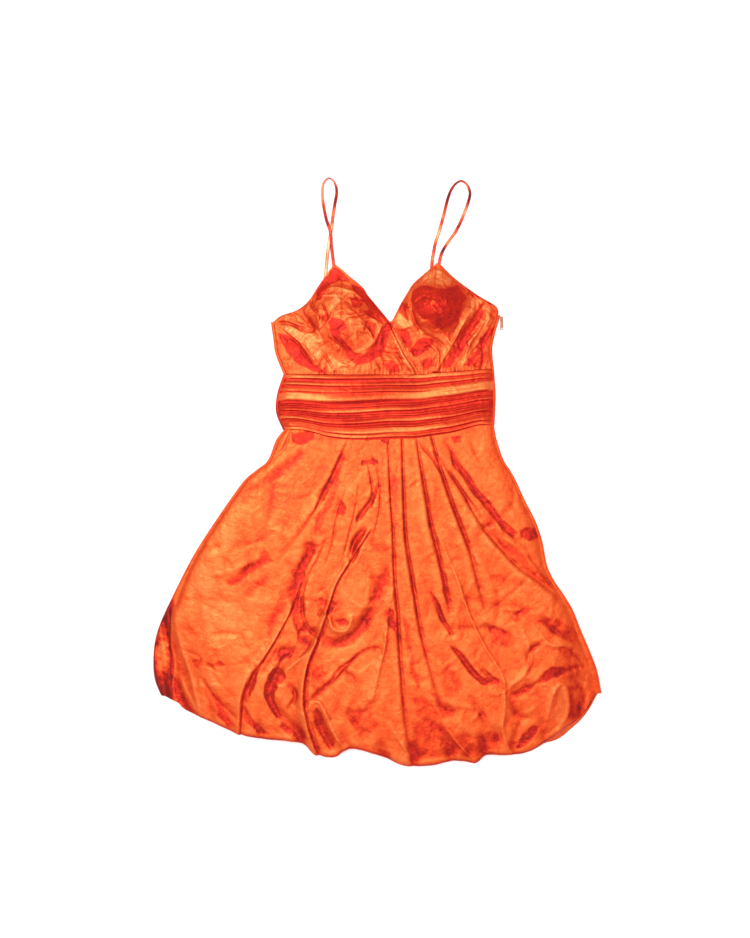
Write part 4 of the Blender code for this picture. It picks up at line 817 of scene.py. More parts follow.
# ---------------------------------------------------------------- Skirt, back
# The back of the bubble skirt is plain and lies flat under the front. Its sides
# fold up to the seams, and on the viewer's left it bulges out past the front.
SKIRT_RIM_LEFT = [(-164, 72), (-178, 54), (-192, 19), (-212, 2), (-233, -16), (-259, -51),
                  (-283, -86), (-306, -121), (-327, -156), (-345, -191), (-362, -226),
                  (-378, -261), (-389, -296), (-392, -340), (-389, -366), (-378, -392)]
SKIRT_RIM_RIGHT = [(203, 80), (208, 54), (220, 19), (231, 2), (241, -16), (257, -51), (275, -86),
                   (287, -121), (296, -165), (308, -191), (325, -216), (341, -243), (355, -278),
                   (370, -313), (383, -348), (391, -388)]
HEM_BACK = [(-378, -392), (-360, -402), (-329, -416), (-242, -452), (-154, -466), (-66, -480),
            (38, -500), (126, -498), (214, -489), (257, -486), (294, -476), (320, -468),
            (342, -451), (361, -434), (375, -416), (391, -388)]
BACK_ROLL, BACK_ROLL_SIDE, BACK_TURN = 3.2, 1.8, 40.0
BACK_ROWS = (150, 8, 8)
PLAIN_ROWS = 40            # down the backs of the band and the bodice
FLAT_COLUMNS = 90
EDGE_COLUMNS = 5           # between the seam and the top of the folded side
TURN_COLUMNS = 12          # round the folded side


def back_surface(rims, seams, top, bottom, rows):
    """Back panel: flat on the floor, its sides folded up and over to the seams.

    Three row counts make the skirt's, which ends in a hem rolled back inside.
    """
    top, bottom = Curve(top), Curve(bottom)
    even = np.linspace(0, 1, FLAT_COLUMNS + 1)[1:-1]
    middle = (even + 0.5 - 0.5 * np.cos(math.pi * even)) / 2
    side = EDGE_COLUMNS + TURN_COLUMNS + 1
    count = 2 * side + len(middle)
    across = np.concatenate([np.zeros(side), middle, np.ones(side)])
    if isinstance(rows, tuple):
        lengths = [Curve(seam).length for seam in seams]
        length = lengths[0] + (lengths[1] - lengths[0]) * across
        centre = np.minimum(1, 6 * np.minimum(across, 1 - across))
        radius = BACK_ROLL_SIDE + (BACK_ROLL - BACK_ROLL_SIDE) * centre
        turn = SIDE_TURN + (BACK_TURN - SIDE_TURN) * centre
        inward, angle = hem_rows(length, PUFF_RADIUS_SIDE, radius, turn, rows)
        share = 1 - inward / length
    else:
        share = np.repeat(np.linspace(0, 1, rows)[:, None], count, axis=1)
        angle, radius = np.zeros((rows, count)), np.zeros(count)
    surface = np.zeros(share.shape + (3,))
    inwards = np.zeros_like(surface)
    inwards[..., 2] = 1
    places = list(np.linspace(0, 1, EDGE_COLUMNS, endpoint=False))
    turns = list(np.linspace(0, 180, TURN_COLUMNS + 1))
    for is_left, sign, order in ((True, 1, range(side)),
                                 (False, -1, range(count - 1, count - 1 - side, -1))):
        rim, seam = Curve(rims[not is_left]), Curve(seams[not is_left])
        for step, column in enumerate(order):
            edge, sewn = rim.at(share[:, column]), seam.at(share[:, column])
            half = side_height(sewn[:, 1], is_left) / 2
            degrees = 0 if step < EDGE_COLUMNS else turns[step - EDGE_COLUMNS]
            turned = math.radians(degrees)
            surface[:, column, 0] = edge[:, 0] + sign * half * (1 - math.sin(turned))
            surface[:, column, 1] = edge[:, 1]
            surface[:, column, 2] = half * (1 + math.cos(turned))
            inwards[:, column, 0] = sign * math.sin(turned)
            inwards[:, column, 2] = -math.cos(turned)
            if step < EDGE_COLUMNS:
                way = places[step]
                seam_point = np.stack([sewn[:, 0], sewn[:, 1], 2 * half], axis=-1)
                surface[:, column] = seam_point * (1 - way) + surface[:, column] * way
    first, last = surface[:, side - 1, :2], surface[:, -side, :2]
    top_line, bottom_line = top.at([0, 1]), bottom.at([0, 1])
    for column, part in enumerate(middle, side):
        way = share[:, column][:, None]
        above = top.at(part) - (top_line[0] + (top_line[1] - top_line[0]) * part)
        below = bottom.at(part) - (bottom_line[0] + (bottom_line[1] - bottom_line[0]) * part)
        surface[:, column, :2] = first + (last - first) * part + above * (1 - way) + below * way
    surface += inwards * (radius * (1 - np.cos(angle)))[..., None]
    return surface


BULGE_RIPPLE = 1.6
# Painted shade over the bulge, and a painted highlight in a patch on it
BULGE_SHADE, PATCH_HIGHLIGHT = 0.80, 1.7
PATCH_MIDDLE, PATCH_REACH = (-375, -318), (9, 34)


def bulged(surface):
    """Ripple the bulge at the viewer's left, and paint it in shade round a patch of painted highlight.
    """
    x, y = surface[..., 0], surface[..., 1]
    bulge = smooth_step(-x, 352, 360) * smooth_step(-y, 195, 250)
    highlight = np.exp(-((x - PATCH_MIDDLE[0]) / PATCH_REACH[0])**2
                  - ((y - PATCH_MIDDLE[1]) / PATCH_REACH[1])**2)
    highlight *= 1 + 0.7 * np.sin(y / 6 + x / 5) * np.sin(y / 2.7)
    ripple = BULGE_RIPPLE * np.sin(x / 3.0 + y / 17) * smooth_step(surface[..., 2], 4, 9)
    surface[..., 2] += bulge * ripple
    return surface, bulge * (BULGE_SHADE - PATCH_HIGHLIGHT * highlight + 0.12 * np.sin(x / 2.5 + y / 14))


surface = back_surface((SKIRT_RIM_LEFT, SKIRT_RIM_RIGHT), (SKIRT_SEAM_LEFT, SKIRT_SEAM_RIGHT),
                       WAIST, HEM_BACK, BACK_ROWS)[:, ::-1]
surface, hollow = bulged(surface)
skirt_back = lay("skirt_back_cloth", surface, hollow, skirt_satin)
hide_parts("skirt_back")

# ---------------------------------------------------------------- Midriff band
# The band is a strip of the same satin, ruched into tucks that are caught in the
# side seams and spread out over the middle. The back of it is smooth.
BAND_TOP = [(-161, 169), (-84, 168), (4, 168), (74, 168), (105, 171), (149, 174), (178, 177),
            (200, 178)]
BAND_RIM_LEFT = [(-165, 169), (-176, 135), (-178, 103), (-166, 72)]
BAND_SEAM_LEFT = [(-161, 169), (-172, 135), (-174, 103), (-161, 72)]
BAND_RIM_RIGHT = [(203, 178), (206, 135), (205, 103), (204, 80)]
BAND_SEAM_RIGHT = [(200, 178), (202, 135), (201, 103), (200, 80)]
BAND_HEIGHT, BAND_ROUND = 8.2, 22.0
BAND_ROWS, BAND_COLUMNS = 150, 190
TUCK_FADE = 16.0           # from a side seam to where the tucks stand at their full height
TUCK_WANDER = 0.004        # of a tuck's line, as a share of the way down
BAND_CREASES = (21, 60, (8, 30), (1.5, 3), (0.2, 0.6))
# Each tuck: share of the way down at the left side, middle and right side, height, half width, painted
# highlight on its crest
TUCKS = [(0.06, 0.045, 0.055, 1.8, 0.050, 0.8), (0.18, 0.155, 0.15, 2.2, 0.040, 0.7),
         (0.29, 0.25, 0.25, 1.8, 0.050, 0.6), (0.43, 0.37, 0.35, 2.8, 0.095, 1.2),
         (0.55, 0.475, 0.45, 1.6, 0.026, 0.3), (0.63, 0.545, 0.53, 1.8, 0.040, 0.9),
         (0.70, 0.62, 0.64, 1.6, 0.024, 0.3), (0.78, 0.71, 0.73, 2.2, 0.044, 0.8),
         (0.86, 0.79, 0.81, 1.6, 0.028, 0.4), (0.92, 0.875, 0.90, 2.6, 0.062, 1.1),
         (0.98, 0.955, 0.975, 1.8, 0.040, 0.9)]


def band_front_surface():
    """Rows of tucks, each with its own run, height and width."""
    columns = np.linspace(0, 1, BAND_COLUMNS)
    share = np.linspace(0, 1, BAND_ROWS)
    top, bottom = Curve(BAND_TOP).at(columns), Curve(WAIST).at(columns)
    left, right = Curve(BAND_SEAM_LEFT).at(share), Curve(BAND_SEAM_RIGHT).at(share)
    way, across = share[:, None, None], columns[None, :, None]
    places = top + (bottom - top) * way
    left_gap = left[:, None] - (top[0] + (bottom[0] - top[0]) * way)
    right_gap = right[:, None] - (top[-1] + (bottom[-1] - top[-1]) * way)
    places = places + left_gap * (1 - across) + right_gap * across
    to_left, to_right = row_distances(places)
    away = np.minimum(to_left, to_right)
    height = SIDE_HEIGHT + (BAND_HEIGHT - SIDE_HEIGHT) * edge_round(away, BAND_ROUND)
    dice = np.random.default_rng(5)
    tucks, crest_highlights = np.zeros_like(height), np.zeros_like(height)
    for at_left, at_middle, at_right, rise, wide, highlight in TUCKS:
        line = np.interp(columns, (0, 0.5, 1), (at_left, at_middle, at_right))
        waves = sum(dice.uniform(-1, 1) * np.sin(columns * k * 3 + dice.uniform(0, 6))
                    for k in range(1, 5))
        line = line + TUCK_WANDER * waves
        swell = 1 + 0.35 * np.sin(columns * dice.uniform(6, 14) + dice.uniform(0, 6))
        down = share[:, None] - line
        spread = np.where(down > 0, 0.4 * wide, wide)
        tucks += rise * swell * np.exp(-(down / spread)**2)
        shown = 0.75 + 0.45 * np.sin(columns * dice.uniform(5, 11) + dice.uniform(0, 6))
        crest_highlights += highlight * shown * np.exp(-((down + 0.3 * wide) / (0.7 * wide))**4)
    height = height + tucks * smooth_step(away, 0, TUCK_FADE)
    height += crumple(places[..., 0], places[..., 1], *BAND_CREASES)
    surface = np.dstack([places, height])
    # Painted shade from the shape and painted highlights on the tucks' crests, over an evenly deeper
    # tone that is darker in the middle rows
    dark_middle = smooth_step(share, 0.38, 0.46) * (1 - smooth_step(share, 0.78, 0.86))
    band_shading = 0.5 * painted_shading_from_shape(surface, 6) - 0.75 * crest_highlights + 0.34 + 0.1 * dark_middle[:, None]
    return surface, np.clip(band_shading, -0.4, 0.5)


BAND_TONES = [(0.0, (0.80, 0.17, 0.045)), (0.3, (0.74, 0.075, 0.018)), (0.55, (0.60, 0.034, 0.010)),
              (0.85, (0.49, 0.012, 0.007)), (1.0, (0.26, 0.010, 0.009))]
band_satin = satin("band_satin", BAND_TONES, creases=0.25, mottle=0.5)
surface, hollow = band_front_surface()
band_front = lay("band_front_cloth", surface, hollow, band_satin)
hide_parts("band_front")
surface = back_surface((BAND_RIM_LEFT, BAND_RIM_RIGHT), (BAND_SEAM_LEFT, BAND_SEAM_RIGHT),
                       BAND_TOP, WAIST, PLAIN_ROWS)
# Painted shade on the viewer's left half of the band's back, deeper towards its lower edge
hollow = np.where(surface[..., 0] > 0, 0.1, 0.3 + 0.35 * smooth_step(-surface[..., 1], -130, -95))
band_back = lay("band_back_cloth", surface[:, ::-1], hollow[:, ::-1], band_satin)
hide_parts("band_back")

# ---------------------------------------------------------------- Bodice
# Two cups of satin over a soft lining cross in a V, the viewer's left one over the
# right one. Small gathers under them are held by the band, and the edges are turned in.
BODICE_RIM_LEFT = [(-187, 260), (-183, 232), (-179, 205), (-165, 169)]
BODICE_SEAM_LEFT = [(-183, 260), (-179, 232), (-175, 205), (-161, 169)]
BODICE_RIM_RIGHT = [(214, 272), (205, 240), (200, 212), (203, 178)]
BODICE_SEAM_RIGHT = [(210, 272), (201, 240), (196, 212), (200, 178)]
BODICE_BACK_TOP = [(-187, 260), (-102, 262), (13, 262), (91, 262), (160, 264), (214, 272)]
ARMHOLE_LEFT = [(-183, 260), (-169, 271), (-141, 281), (-122, 296), (-107, 318), (-94, 337),
                (-79, 358)]
ARMHOLE_RIGHT = [(210, 272), (210, 281), (203, 290), (176, 306), (145, 328), (127, 343),
                 (109, 361)]
NECKLINE_LEFT = [(72, 168), (46, 215), (21, 258), (-2, 288), (-17, 306), (-27, 321), (-47, 338),
                 (-73, 360)]
NECKLINE_RIGHT = [(-32, 168), (-4, 214), (23, 259), (40, 292), (52, 312), (61, 326), (76, 340),
                  (103, 363)]
BODICE_HEIGHT, EDGE_HEIGHT, BODICE_ROUND = 8.0, 6.2, 25.0
POINT_DROP = 2.0           # how much lower the bodice lies towards its points
NECK_DROP, WRAP_LIFT, WRAP_SLOPE = 0.75, 2.6, 0.604
# Each cup: x and y of its middle, half width, half length, rise
CUPS = [(103, 288, 44, 42, 19.0), (-62, 263, 50, 44, 12.0)]
CLOTH_WALL = 1.4
PANEL_ROWS, PANEL_COLUMNS = (56, 84), 150
LEFT_SEED, RIGHT_SEED = 31, 32
BODICE_CREASES = (260, (5, 17), (1.6, 3.6), (0.4, 1.3))
BODICE_FOLDS = [
    ("line", 3, 3, (-1, -1.8, -0.8), [(-183, 258), (-154, 258), (-128, 243), (-110, 247),
                                      (-99, 267)]),
    ("left", 5, 5, (1.5, 2.5, 1.5), [(19, 257), (34, 225), (47, 200), (65, 171)]),
    ("cleft", 3, 3.5, (1.2, 2.2, 1), [(59, 317), (58, 285), (66, 258), (81, 239), (93, 234)]),
    ("sharp", 4.5, 4.5, (1.5, 3, 1), [(167, 285), (148, 256), (134, 229), (119, 203), (104, 178)]),
    ("sharp", 4, 4, (1.5, 2.6, 1), [(194, 273), (177, 247), (159, 218), (146, 181)]),
    ("line", 2.2, 2.2, (-0.6, -1, -0.6), [(-62, 330), (-63, 299), (-62, 266)]),
    ("line", 2.2, 2.2, (-0.8, -1, -0.6), [(103, 362), (101, 343), (99, 317)]),
    ("sharp", 4, 4, (1.5, 2.8, 1), [(-45, 258), (-23, 251), (-11, 234), (-13, 219)]),
    ("sharp", 4, 4, (1.2, 2.6, 1.2), [(-97, 312), (-78, 320), (-58, 317), (-40, 312)]),
    ("line", 3, 3, (-1, -2, -1), [(-97, 209), (-87, 194), (-74, 173)]),
    ("sharp", 4, 4, (1, 2.4, 1.2), [(-53, 267), (-29, 273), (-1, 262)]),
    ("sharp", 4, 4, (1, 2.4, 1.2), [(-100, 290), (-104, 267), (-100, 241)]),
    ("sharp", 3.5, 3.5, (1, 2.4, 1.2), [(-78, 238), (-66, 225), (-68, 212)]),
    ("soft", 5, 5, (-1, -3, -1), [(-139, 279), (-119, 258), (-110, 238)]),
    ("sharp", 4, 4, (1, 2.2, 1), [(-163, 247), (-136, 225), (-116, 200), (-94, 174)]),
    ("sharp", 3.5, 3.5, (1.2, 2.4, 1.2), [(138, 334), (152, 324), (176, 313), (192, 293)]),
    ("soft", 4, 4, (-1, -2.2, -1), [(152, 343), (170, 320), (165, 302)]),
    ("sharp", 3, 3, (1.2, 2, 1), [(91, 290), (99, 278), (107, 273)]),
    ("line", 3, 3, (-1, -2, -1), [(82, 238), (106, 225), (117, 215)]),
    ("sharp", 4, 4, (1, 2.4, 1.2), [(76, 229), (94, 219), (106, 203), (103, 177)]),
    ("line", 3, 3, (-0.8, -1.8, -0.8), [(33, 203), (41, 188), (48, 171)]),
    ("line", 3, 3, (-0.8, -1.8, -0.8), [(181, 232), (184, 203), (180, 177)]),
    ("sharp", 4, 4, (1, 2, 1), [(6, 253), (-5, 226), (-23, 212)]),
    ("cleft", 2.5, 3, (1, 2.2, 0.8), [(-103, 320), (-115, 301), (-113, 285), (-97, 267)]),
    ("line", 2, 2, (-1, -1.8, -0.6), [(-102, 301), (-93, 285), (-88, 264)]),
    ("cleft", 2.5, 3, (0.8, 2, 0.6), [(-174, 260), (-151, 255), (-132, 250), (-117, 246)]),
    ("line", 2, 2, (-1, -1.6, -0.6), [(-151, 264), (-136, 257), (-115, 251)]),
    ("line", 2, 2, (-1, -1.8, -0.6), [(-163, 244), (-142, 225), (-128, 203), (-110, 177)]),
    ("line", 2, 2, (-1, -1.8, -0.6), [(184, 290), (170, 267), (152, 238), (135, 203)]),
    ("line", 2, 2, (-1, -1.8, -0.6), [(205, 267), (190, 238), (167, 209), (152, 186)]),
]
# Patches of painted shade, or painted highlight where the tone is below 0: tone, drop, softness of the
# edge, outline
BODICE_SHADING_PATCHES = [
    (1.05, 0.3, 1, [(-77, 356), (-61, 343), (-48, 331), (-66, 331), (-81, 327), (-92, 314),
                    (-101, 302), (-111, 293), (-107, 313), (-94, 337)]),
    (0.6, 0.3, 1, [(-45, 328), (-23, 320), (-4, 290), (9, 261), (1, 258), (-16, 282), (-29, 302),
                   (-41, 315)]),
    (0.9, 0.3, 1, [(-88, 258), (-81, 266), (-61, 261), (-54, 248), (-66, 239), (-60, 225),
                   (-73, 225), (-81, 241)]),
    (0.85, 0.3, 1, [(27, 258), (19, 232), (6, 203), (-12, 188), (-34, 186), (-52, 200), (-66, 218),
                    (-74, 232), (-61, 228), (-45, 210), (-27, 203), (-10, 212), (1, 232), (8, 253),
                    (15, 261)]),
    (0.8, 0.3, 1, [(-174, 239), (-157, 236), (-136, 220), (-116, 191), (-94, 172), (-116, 173),
                   (-139, 190), (-162, 209)]),
    (0.8, 0.3, 1, [(9, 188), (31, 192), (38, 173), (21, 170)]),
    (0.6, 0.3, 1, [(-49, 302), (-37, 305), (-23, 296), (-29, 285), (-45, 286)]),
    (0.8, 0.3, 1, [(59, 313), (74, 323), (88, 321), (103, 317), (123, 320), (141, 322), (153, 302),
                   (146, 285), (144, 266), (129, 253), (111, 248), (94, 253), (76, 267), (65, 282),
                   (57, 296)]),
    (0.15, 0.3, 1, [(106, 290), (138, 296), (141, 273), (126, 254), (108, 254), (101, 270)]),
    (0.85, 0.3, 1, [(52, 210), (74, 232), (101, 229), (89, 212), (68, 200)]),
    (0.85, 0.3, 1, [(176, 282), (188, 278), (171, 253), (158, 229), (144, 203), (129, 183),
                    (114, 181), (129, 209), (144, 235), (158, 261)]),
    (0.7, 0.3, 1, [(202, 253), (209, 248), (192, 225), (176, 203), (163, 183), (152, 183),
                   (165, 206), (183, 232)]),
    (0.4, 0.3, 1, [(33, 247), (50, 241), (59, 225), (50, 215), (38, 229)]),
    (0.5, 0.3, 1, [(76, 191), (94, 197), (100, 183), (82, 174)]),
    (0.5, 0.3, 1, [(-99, 267), (-87, 279), (-83, 267), (-93, 256)]),
    (0.6, 0.3, 1, [(-23, 280), (-5, 276), (-2, 264), (-17, 267)]),
    (0.4, 0.3, 1, [(152, 324), (176, 314), (184, 299), (164, 303)]),
    (0.5, 0.3, 1, [(164, 186), (187, 209), (194, 197), (181, 177)]),
    (-0.35, 0, 1, [(-78, 308), (-61, 321), (-40, 314), (-45, 305), (-61, 305), (-69, 290),
                   (-78, 276), (-84, 285)]),
    (-0.35, 0, 1, [(-52, 267), (-5, 264), (4, 244), (-5, 226), (-23, 232), (-40, 220), (-49, 238)]),
    (-0.4, 0, 1, [(82, 343), (106, 352), (129, 334), (129, 323), (94, 326), (74, 327)]),
    (-0.4, 0, 1, [(158, 308), (181, 302), (176, 285), (152, 261), (144, 244), (138, 253),
                  (152, 282)]),
    (-0.4, 0, 1, [(192, 274), (199, 261), (176, 226), (152, 186), (141, 183), (164, 226)]),
    (-0.35, 0, 1, [(-177, 258), (-151, 257), (-128, 241), (-110, 237), (-99, 248), (-93, 209),
                   (-110, 192), (-134, 225), (-163, 247)]),
    (-0.35, 0, 1, [(-87, 203), (-58, 184), (-46, 174), (-87, 174)]),
    (-0.35, 0, 1, [(36, 273), (53, 279), (59, 253), (41, 250), (31, 258)]),
    (-0.3, 0, 1, [(68, 256), (94, 241), (117, 238), (129, 225), (111, 203), (103, 225), (76, 235)]),
    (-0.35, 0, 1, [(33, 241), (47, 209), (59, 183), (50, 177), (36, 209), (27, 232)]),
    (0.6, 0.3, 1, [(40, 247), (54, 243), (62, 225), (53, 212), (43, 229)]),
    (0.5, 0.3, 1, [(-99, 337), (-92, 332), (-104, 302), (-110, 296), (-107, 314)]),
    (0.55, 0.3, 1, [(-23, 343), (-16, 334), (6, 290), (21, 261), (13, 258), (-5, 290)]),
    (0.45, 0.3, 1, [(129, 343), (152, 331), (176, 320), (205, 290), (193, 290), (164, 317),
                    (141, 328)]),
    (-0.7, 0, 0.8, [(91, 298), (98, 295), (99, 288), (93, 286)]),
    (-0.7, 0, 0.8, [(97, 282), (107, 279), (103, 274), (96, 276)]),
    (0.5, 0.3, 1, [(-23, 261), (-5, 256), (4, 235), (-2, 225), (-11, 238), (-23, 247)]),
    (0.5, 0.3, 1, [(36, 296), (53, 290), (58, 279), (50, 261), (40, 273)]),
]


def gathers():
    """Short creases that rise from the band's seam under the cups."""
    dice = np.random.default_rng(8)
    creases = []
    for x in np.arange(-100, 190, 6.5):
        foot, tall = x + dice.uniform(-2, 2), dice.uniform(8, 26)
        lean = (dice.uniform(-0.25, 0.25) - (x - 40) * 0.0012) * tall
        depth = dice.uniform(0.6, 1.6)
        creases.append(("line", 2.0, 1.6, (-depth, -depth, -0.2),
                        [(foot, 166), (foot + lean / 2, 170 + tall / 2), (foot + lean, 170 + tall)]))
    return creases


def bodice_front_surface(left):
    """One front panel, from the band's top edge up to its point at the strap."""
    seam = Curve((BODICE_SEAM_LEFT if left else BODICE_SEAM_RIGHT)[::-1])
    armhole = Curve(ARMHOLE_LEFT if left else ARMHOLE_RIGHT)
    neck = Curve(NECKLINE_LEFT if left else NECKLINE_RIGHT)
    outer_edge = np.vstack([seam.at(np.linspace(0, 1, PANEL_ROWS[0])),
                            armhole.at(np.linspace(0, 1, PANEL_ROWS[1]))[1:]])
    way = np.linspace(0, 1, len(outer_edge))
    neck_edge = neck.at(way)
    across = np.linspace(0, 1, PANEL_COLUMNS)
    first, last = (outer_edge, neck_edge) if left else (neck_edge, outer_edge)
    places = first[:, None] + (last - first)[:, None] * across[None, :, None]
    band = Curve(BAND_TOP)
    start, end = band.nearest(first[0]), band.nearest(last[0])
    along = band.at(start + (end - start) * across)
    places += (along - places[0]) * (1 - way[:, None, None])**3
    x, y = places[..., 0], places[..., 1]
    to_left, to_right = row_distances(places)
    to_outer, to_neck = (to_left, to_right) if left else (to_right, to_left)
    full = BODICE_HEIGHT - POINT_DROP * smooth_step(y, 290, 350)
    for cup_x, cup_y, wide, long, rise in CUPS:
        away = ((x - cup_x) / wide)**2 + ((y - cup_y) / long)**2
        full = full + rise * np.exp(-away**1.25 * 0.9)
    tone, dents = patch_shading_and_depth(x, y, BODICE_SHADING_PATCHES, 0.1)
    lift = fold_height(x, y, BODICE_FOLDS + gathers()) + dents
    lift += crumple(x, y, LEFT_SEED if left else RIGHT_SEED, *BODICE_CREASES)
    full = full + lift
    free_neck = smooth_step(y, 250, 285)
    neck_round = 1 - free_neck * NECK_DROP * (1 - edge_round(to_neck, BODICE_ROUND))
    top = EDGE_HEIGHT + (full - EDGE_HEIGHT) * neck_round
    low = SIDE_HEIGHT + (EDGE_HEIGHT - SIDE_HEIGHT) * smooth_step(y, 255, 280)
    top = low + (top - low) * edge_round(to_outer, BODICE_ROUND)
    if left:
        wrapped = NECKLINE_RIGHT[0][0] + (y - NECKLINE_RIGHT[0][1]) * WRAP_SLOPE
        over = smooth_step(x, wrapped - 45, wrapped - 8) * (1 - smooth_step(y, 262, 295))
        top = top + WRAP_LIFT * over
    surface = np.dstack([x, y, top])[::-1]
    # The tone returned is painted shade and highlight, from the shape and from the patches
    return surface, np.clip(0.6 * painted_shading_from_shape(surface, 5) + 1.2 * tone[::-1], -0.5, 0.5)


BODICE_TONES = [(0.0, (0.82, 0.21, 0.065)), (0.3, (0.76, 0.10, 0.022)), (0.55, (0.64, 0.045, 0.010)),
                (0.85, (0.52, 0.014, 0.007)), (1.0, (0.28, 0.010, 0.009))]
bodice_satin = satin("bodice_satin", BODICE_TONES, mottle=0.5)
for side, is_left in (("left", True), ("right", False)):
    surface, hollow = bodice_front_surface(is_left)
    panel = lay(f"bodice_front_{side}_cloth", surface, hollow, bodice_satin,
                thickness=CLOTH_WALL)
    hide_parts(f"bodice_front_{side}")
surface = back_surface((BODICE_RIM_LEFT, BODICE_RIM_RIGHT),
                       (BODICE_SEAM_LEFT, BODICE_SEAM_RIGHT), BODICE_BACK_TOP, BAND_TOP,
                       PLAIN_ROWS)
hollow = np.zeros(surface.shape[:2])
bodice_back = lay("bodice_back_cloth", surface[:, ::-1], hollow, bodice_satin)
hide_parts("bodice_back")

# ---------------------------------------------------------------- Straps
# Each strap is a narrow satin ribbon, folded and sewn shut, caught under the point of
# a cup and inside the back's top edge. It lies in a loop that turns over at its top.
STRAP_WIDTH, STRAP_THICK = 5.4, 1.4
STRAP_RINGS = 260
STRAP_CLEAR = 0.02         # least height over the floor
# Painted shade on the ribbon's edges and a painted highlight on its faces
EDGE_SHADE, FACE_HIGHLIGHT = 0.25, -0.1
# Middle of the ribbon: x, y, height over the floor, turn about its own run in degrees
STRAP_LEFT = [
    (-76, 346, 3.4, 0), (-77, 358, 3.3, 0), (-79, 375, 2.8, 8), (-81, 392, 3.6, 10),
    (-82, 408, 4.6, 10), (-84, 422, 3.6, 0), (-89, 436, 2.2, 15), (-93, 453, 1.9, 25),
    (-96, 471, 1.9, 25), (-97, 490, 2.2, 35), (-95, 503, 2.6, 50), (-87, 512, 2.9, 65),
    (-78, 508, 2.9, 65), (-73, 497, 2.4, 45), (-72, 485, 2.0, 30), (-75, 468, 1.5, 15),
    (-78, 450, 1.1, 5), (-80, 434, 0.9, 0), (-82, 419, 0.8, 0), (-85, 402, 0.8, 0),
    (-88, 382, 0.8, 0), (-90, 358, 0.8, 0), (-94, 325, 0.8, 0), (-99, 290, 0.8, 0),
    (-102, 262.5, 0.8, 0)]
STRAP_RIGHT = [
    (106, 350, 3.4, 0), (107, 362, 3.3, 0), (110, 376, 2.4, 10), (115, 388, 2.0, 25),
    (124, 402, 2.0, 25), (135, 417, 1.9, 20), (144, 434, 1.9, 20), (151, 451, 1.9, 20),
    (158, 470, 1.9, 25), (161, 486, 2.3, 40), (156, 500, 2.7, 60), (146, 507, 2.9, 65),
    (136, 502, 2.7, 60), (128, 491, 2.2, 40), (122, 475, 1.9, 25), (117, 455, 1.5, 15),
    (112, 436, 1.2, 5), (107, 418, 0.9, 0), (101, 400, 0.8, 0), (97, 380, 0.8, 0),
    (94.5, 362, 0.8, 0), (93, 330, 0.8, 0), (92, 295, 0.8, 0), (91, 262.5, 0.8, 0)]
# Painted shade and highlight along the run, where the ribbon twists: share of the run, tone
STRAP_LEFT_SHADING = [(0, 0.1), (0.08, 0.5), (0.13, 0.55), (0.18, 0.2), (0.22, 0.6), (0.27, 0.3),
                    (0.31, -0.3), (0.36, -0.15), (0.4, 0.3), (0.43, 0.0), (0.46, 0.55),
                    (0.49, 0.3), (0.52, 0.65), (0.55, 0.1), (0.58, 0.4), (0.61, -0.15),
                    (0.68, -0.3), (0.74, 0.1), (0.8, -0.25), (1, -0.1)]
STRAP_RIGHT_SHADING = [(0, -0.1), (0.05, 0.3), (0.09, 0.6), (0.12, -0.2), (0.16, -0.3), (0.2, 0.5),
                     (0.23, 0.2), (0.27, -0.3), (0.31, 0.5), (0.34, 0.65), (0.38, 0.0),
                     (0.42, 0.5), (0.46, 0.2), (0.49, 0.65), (0.53, 0.3), (0.57, -0.1),
                     (0.6, 0.4), (0.64, -0.25), (0.7, 0.45), (0.75, 0.1), (0.8, 0.6), (1, 0.2)]
# Closed outline of the ribbon, in halves of its width and thickness
RIBBON_SECTION = [(-1, -0.5), (-0.86, -1), (-0.4, -0.8), (0, -0.75), (0.4, -0.8), (0.86, -1),
                  (1, -0.5), (1, 0.5), (0.86, 1), (0.4, 0.85), (0, 0.8), (-0.4, 0.85),
                  (-0.86, 1), (-1, 0.5), (-1, -0.5)]


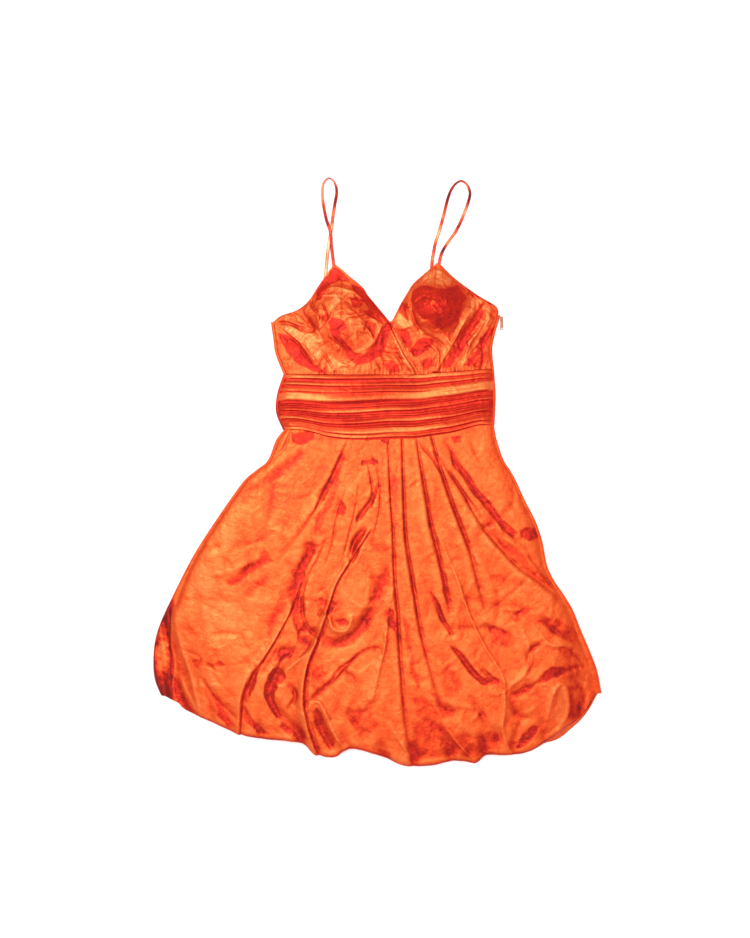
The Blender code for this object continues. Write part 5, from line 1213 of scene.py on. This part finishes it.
def strap_surface(stations):
    """Flat ribbon swept along its run and turned about it: rings of points."""
    data = Curve(stations).at(np.linspace(0, 1, STRAP_RINGS))
    middle, tilt = data[:, :3], np.radians(data[:, 3])[:, None]
    ahead = np.gradient(middle, axis=0)
    ahead /= np.linalg.norm(ahead, axis=1)[:, None]
    flat = np.cross(ahead, (0, 0, 1))
    flat /= np.linalg.norm(flat, axis=1)[:, None]
    up = np.cross(flat, ahead)
    wide = flat * np.cos(tilt) + up * np.sin(tilt)
    thick = np.cross(wide, ahead)
    rings = np.stack([middle + wide * a * STRAP_WIDTH / 2 + thick * b * STRAP_THICK / 2
                      for a, b in RIBBON_SECTION], axis=1)
    rings[..., 2] += np.maximum(0, STRAP_CLEAR - rings[..., 2].min(axis=1))[:, None]
    return rings


STRAP_TONES = [(0.0, (0.86, 0.36, 0.19)), (0.35, (0.80, 0.17, 0.06)), (0.6, (0.66, 0.045, 0.016)),
               (0.85, (0.40, 0.014, 0.010)), (1.0, (0.16, 0.022, 0.024))]
strap_satin = satin("strap_satin", STRAP_TONES, creases=0.2)
for side, stations, twist_shading in (("left", STRAP_LEFT, STRAP_LEFT_SHADING),
                              ("right", STRAP_RIGHT, STRAP_RIGHT_SHADING)):
    rings = strap_surface(stations)
    along = np.interp(np.linspace(0, 1, STRAP_RINGS), *zip(*twist_shading))
    edges = np.array([EDGE_SHADE if abs(a) > 0.8 else FACE_HIGHLIGHT for a, b in RIBBON_SECTION])
    hollow = along[:, None] + edges
    strap = lay(f"strap_{side}_ribbon", rings[:, ::-1], hollow[:, ::-1], strap_satin)
    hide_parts(f"strap_{side}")

# ---------------------------------------------------------------- Side zip
# The zip in the viewer's right side seam has a small painted slider and a flat pull.
# Both are metal, sprayed to match the cloth, and worn paler at the edges.
paint = Finish("zip_paint")
place = paint.node("ShaderNodeTexCoord", output=3)
speckle = paint.noise(place, 900.0, 2.0)
wear = paint.node("ShaderNodeNewGeometry", output=7)
edges = paint.node("ShaderNodeMapRange", {}, {"Value": wear, "From Min": 0.52, "From Max": 0.58})
colour = paint.node("ShaderNodeValToRGB", {"stops": [(0.0, (0.26, 0.075, 0.032)),
                                                     (1.0, (0.50, 0.24, 0.16))]},
                    {"Fac": edges * 0.7 + (speckle - 0.5) * 0.2})
bump = paint.node("ShaderNodeBump", {}, {"Height": speckle, "Distance": 0.0001, "Strength": 0.4})
zip_paint = paint.wear(Base_Color=colour, Roughness=0.4 + speckle * 0.15, Metallic=0.6,
                       Normal=bump)
for name in ("zip_slider", "zip_pull"):
    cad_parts[name].data.materials.clear()
    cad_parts[name].data.materials.append(zip_paint)
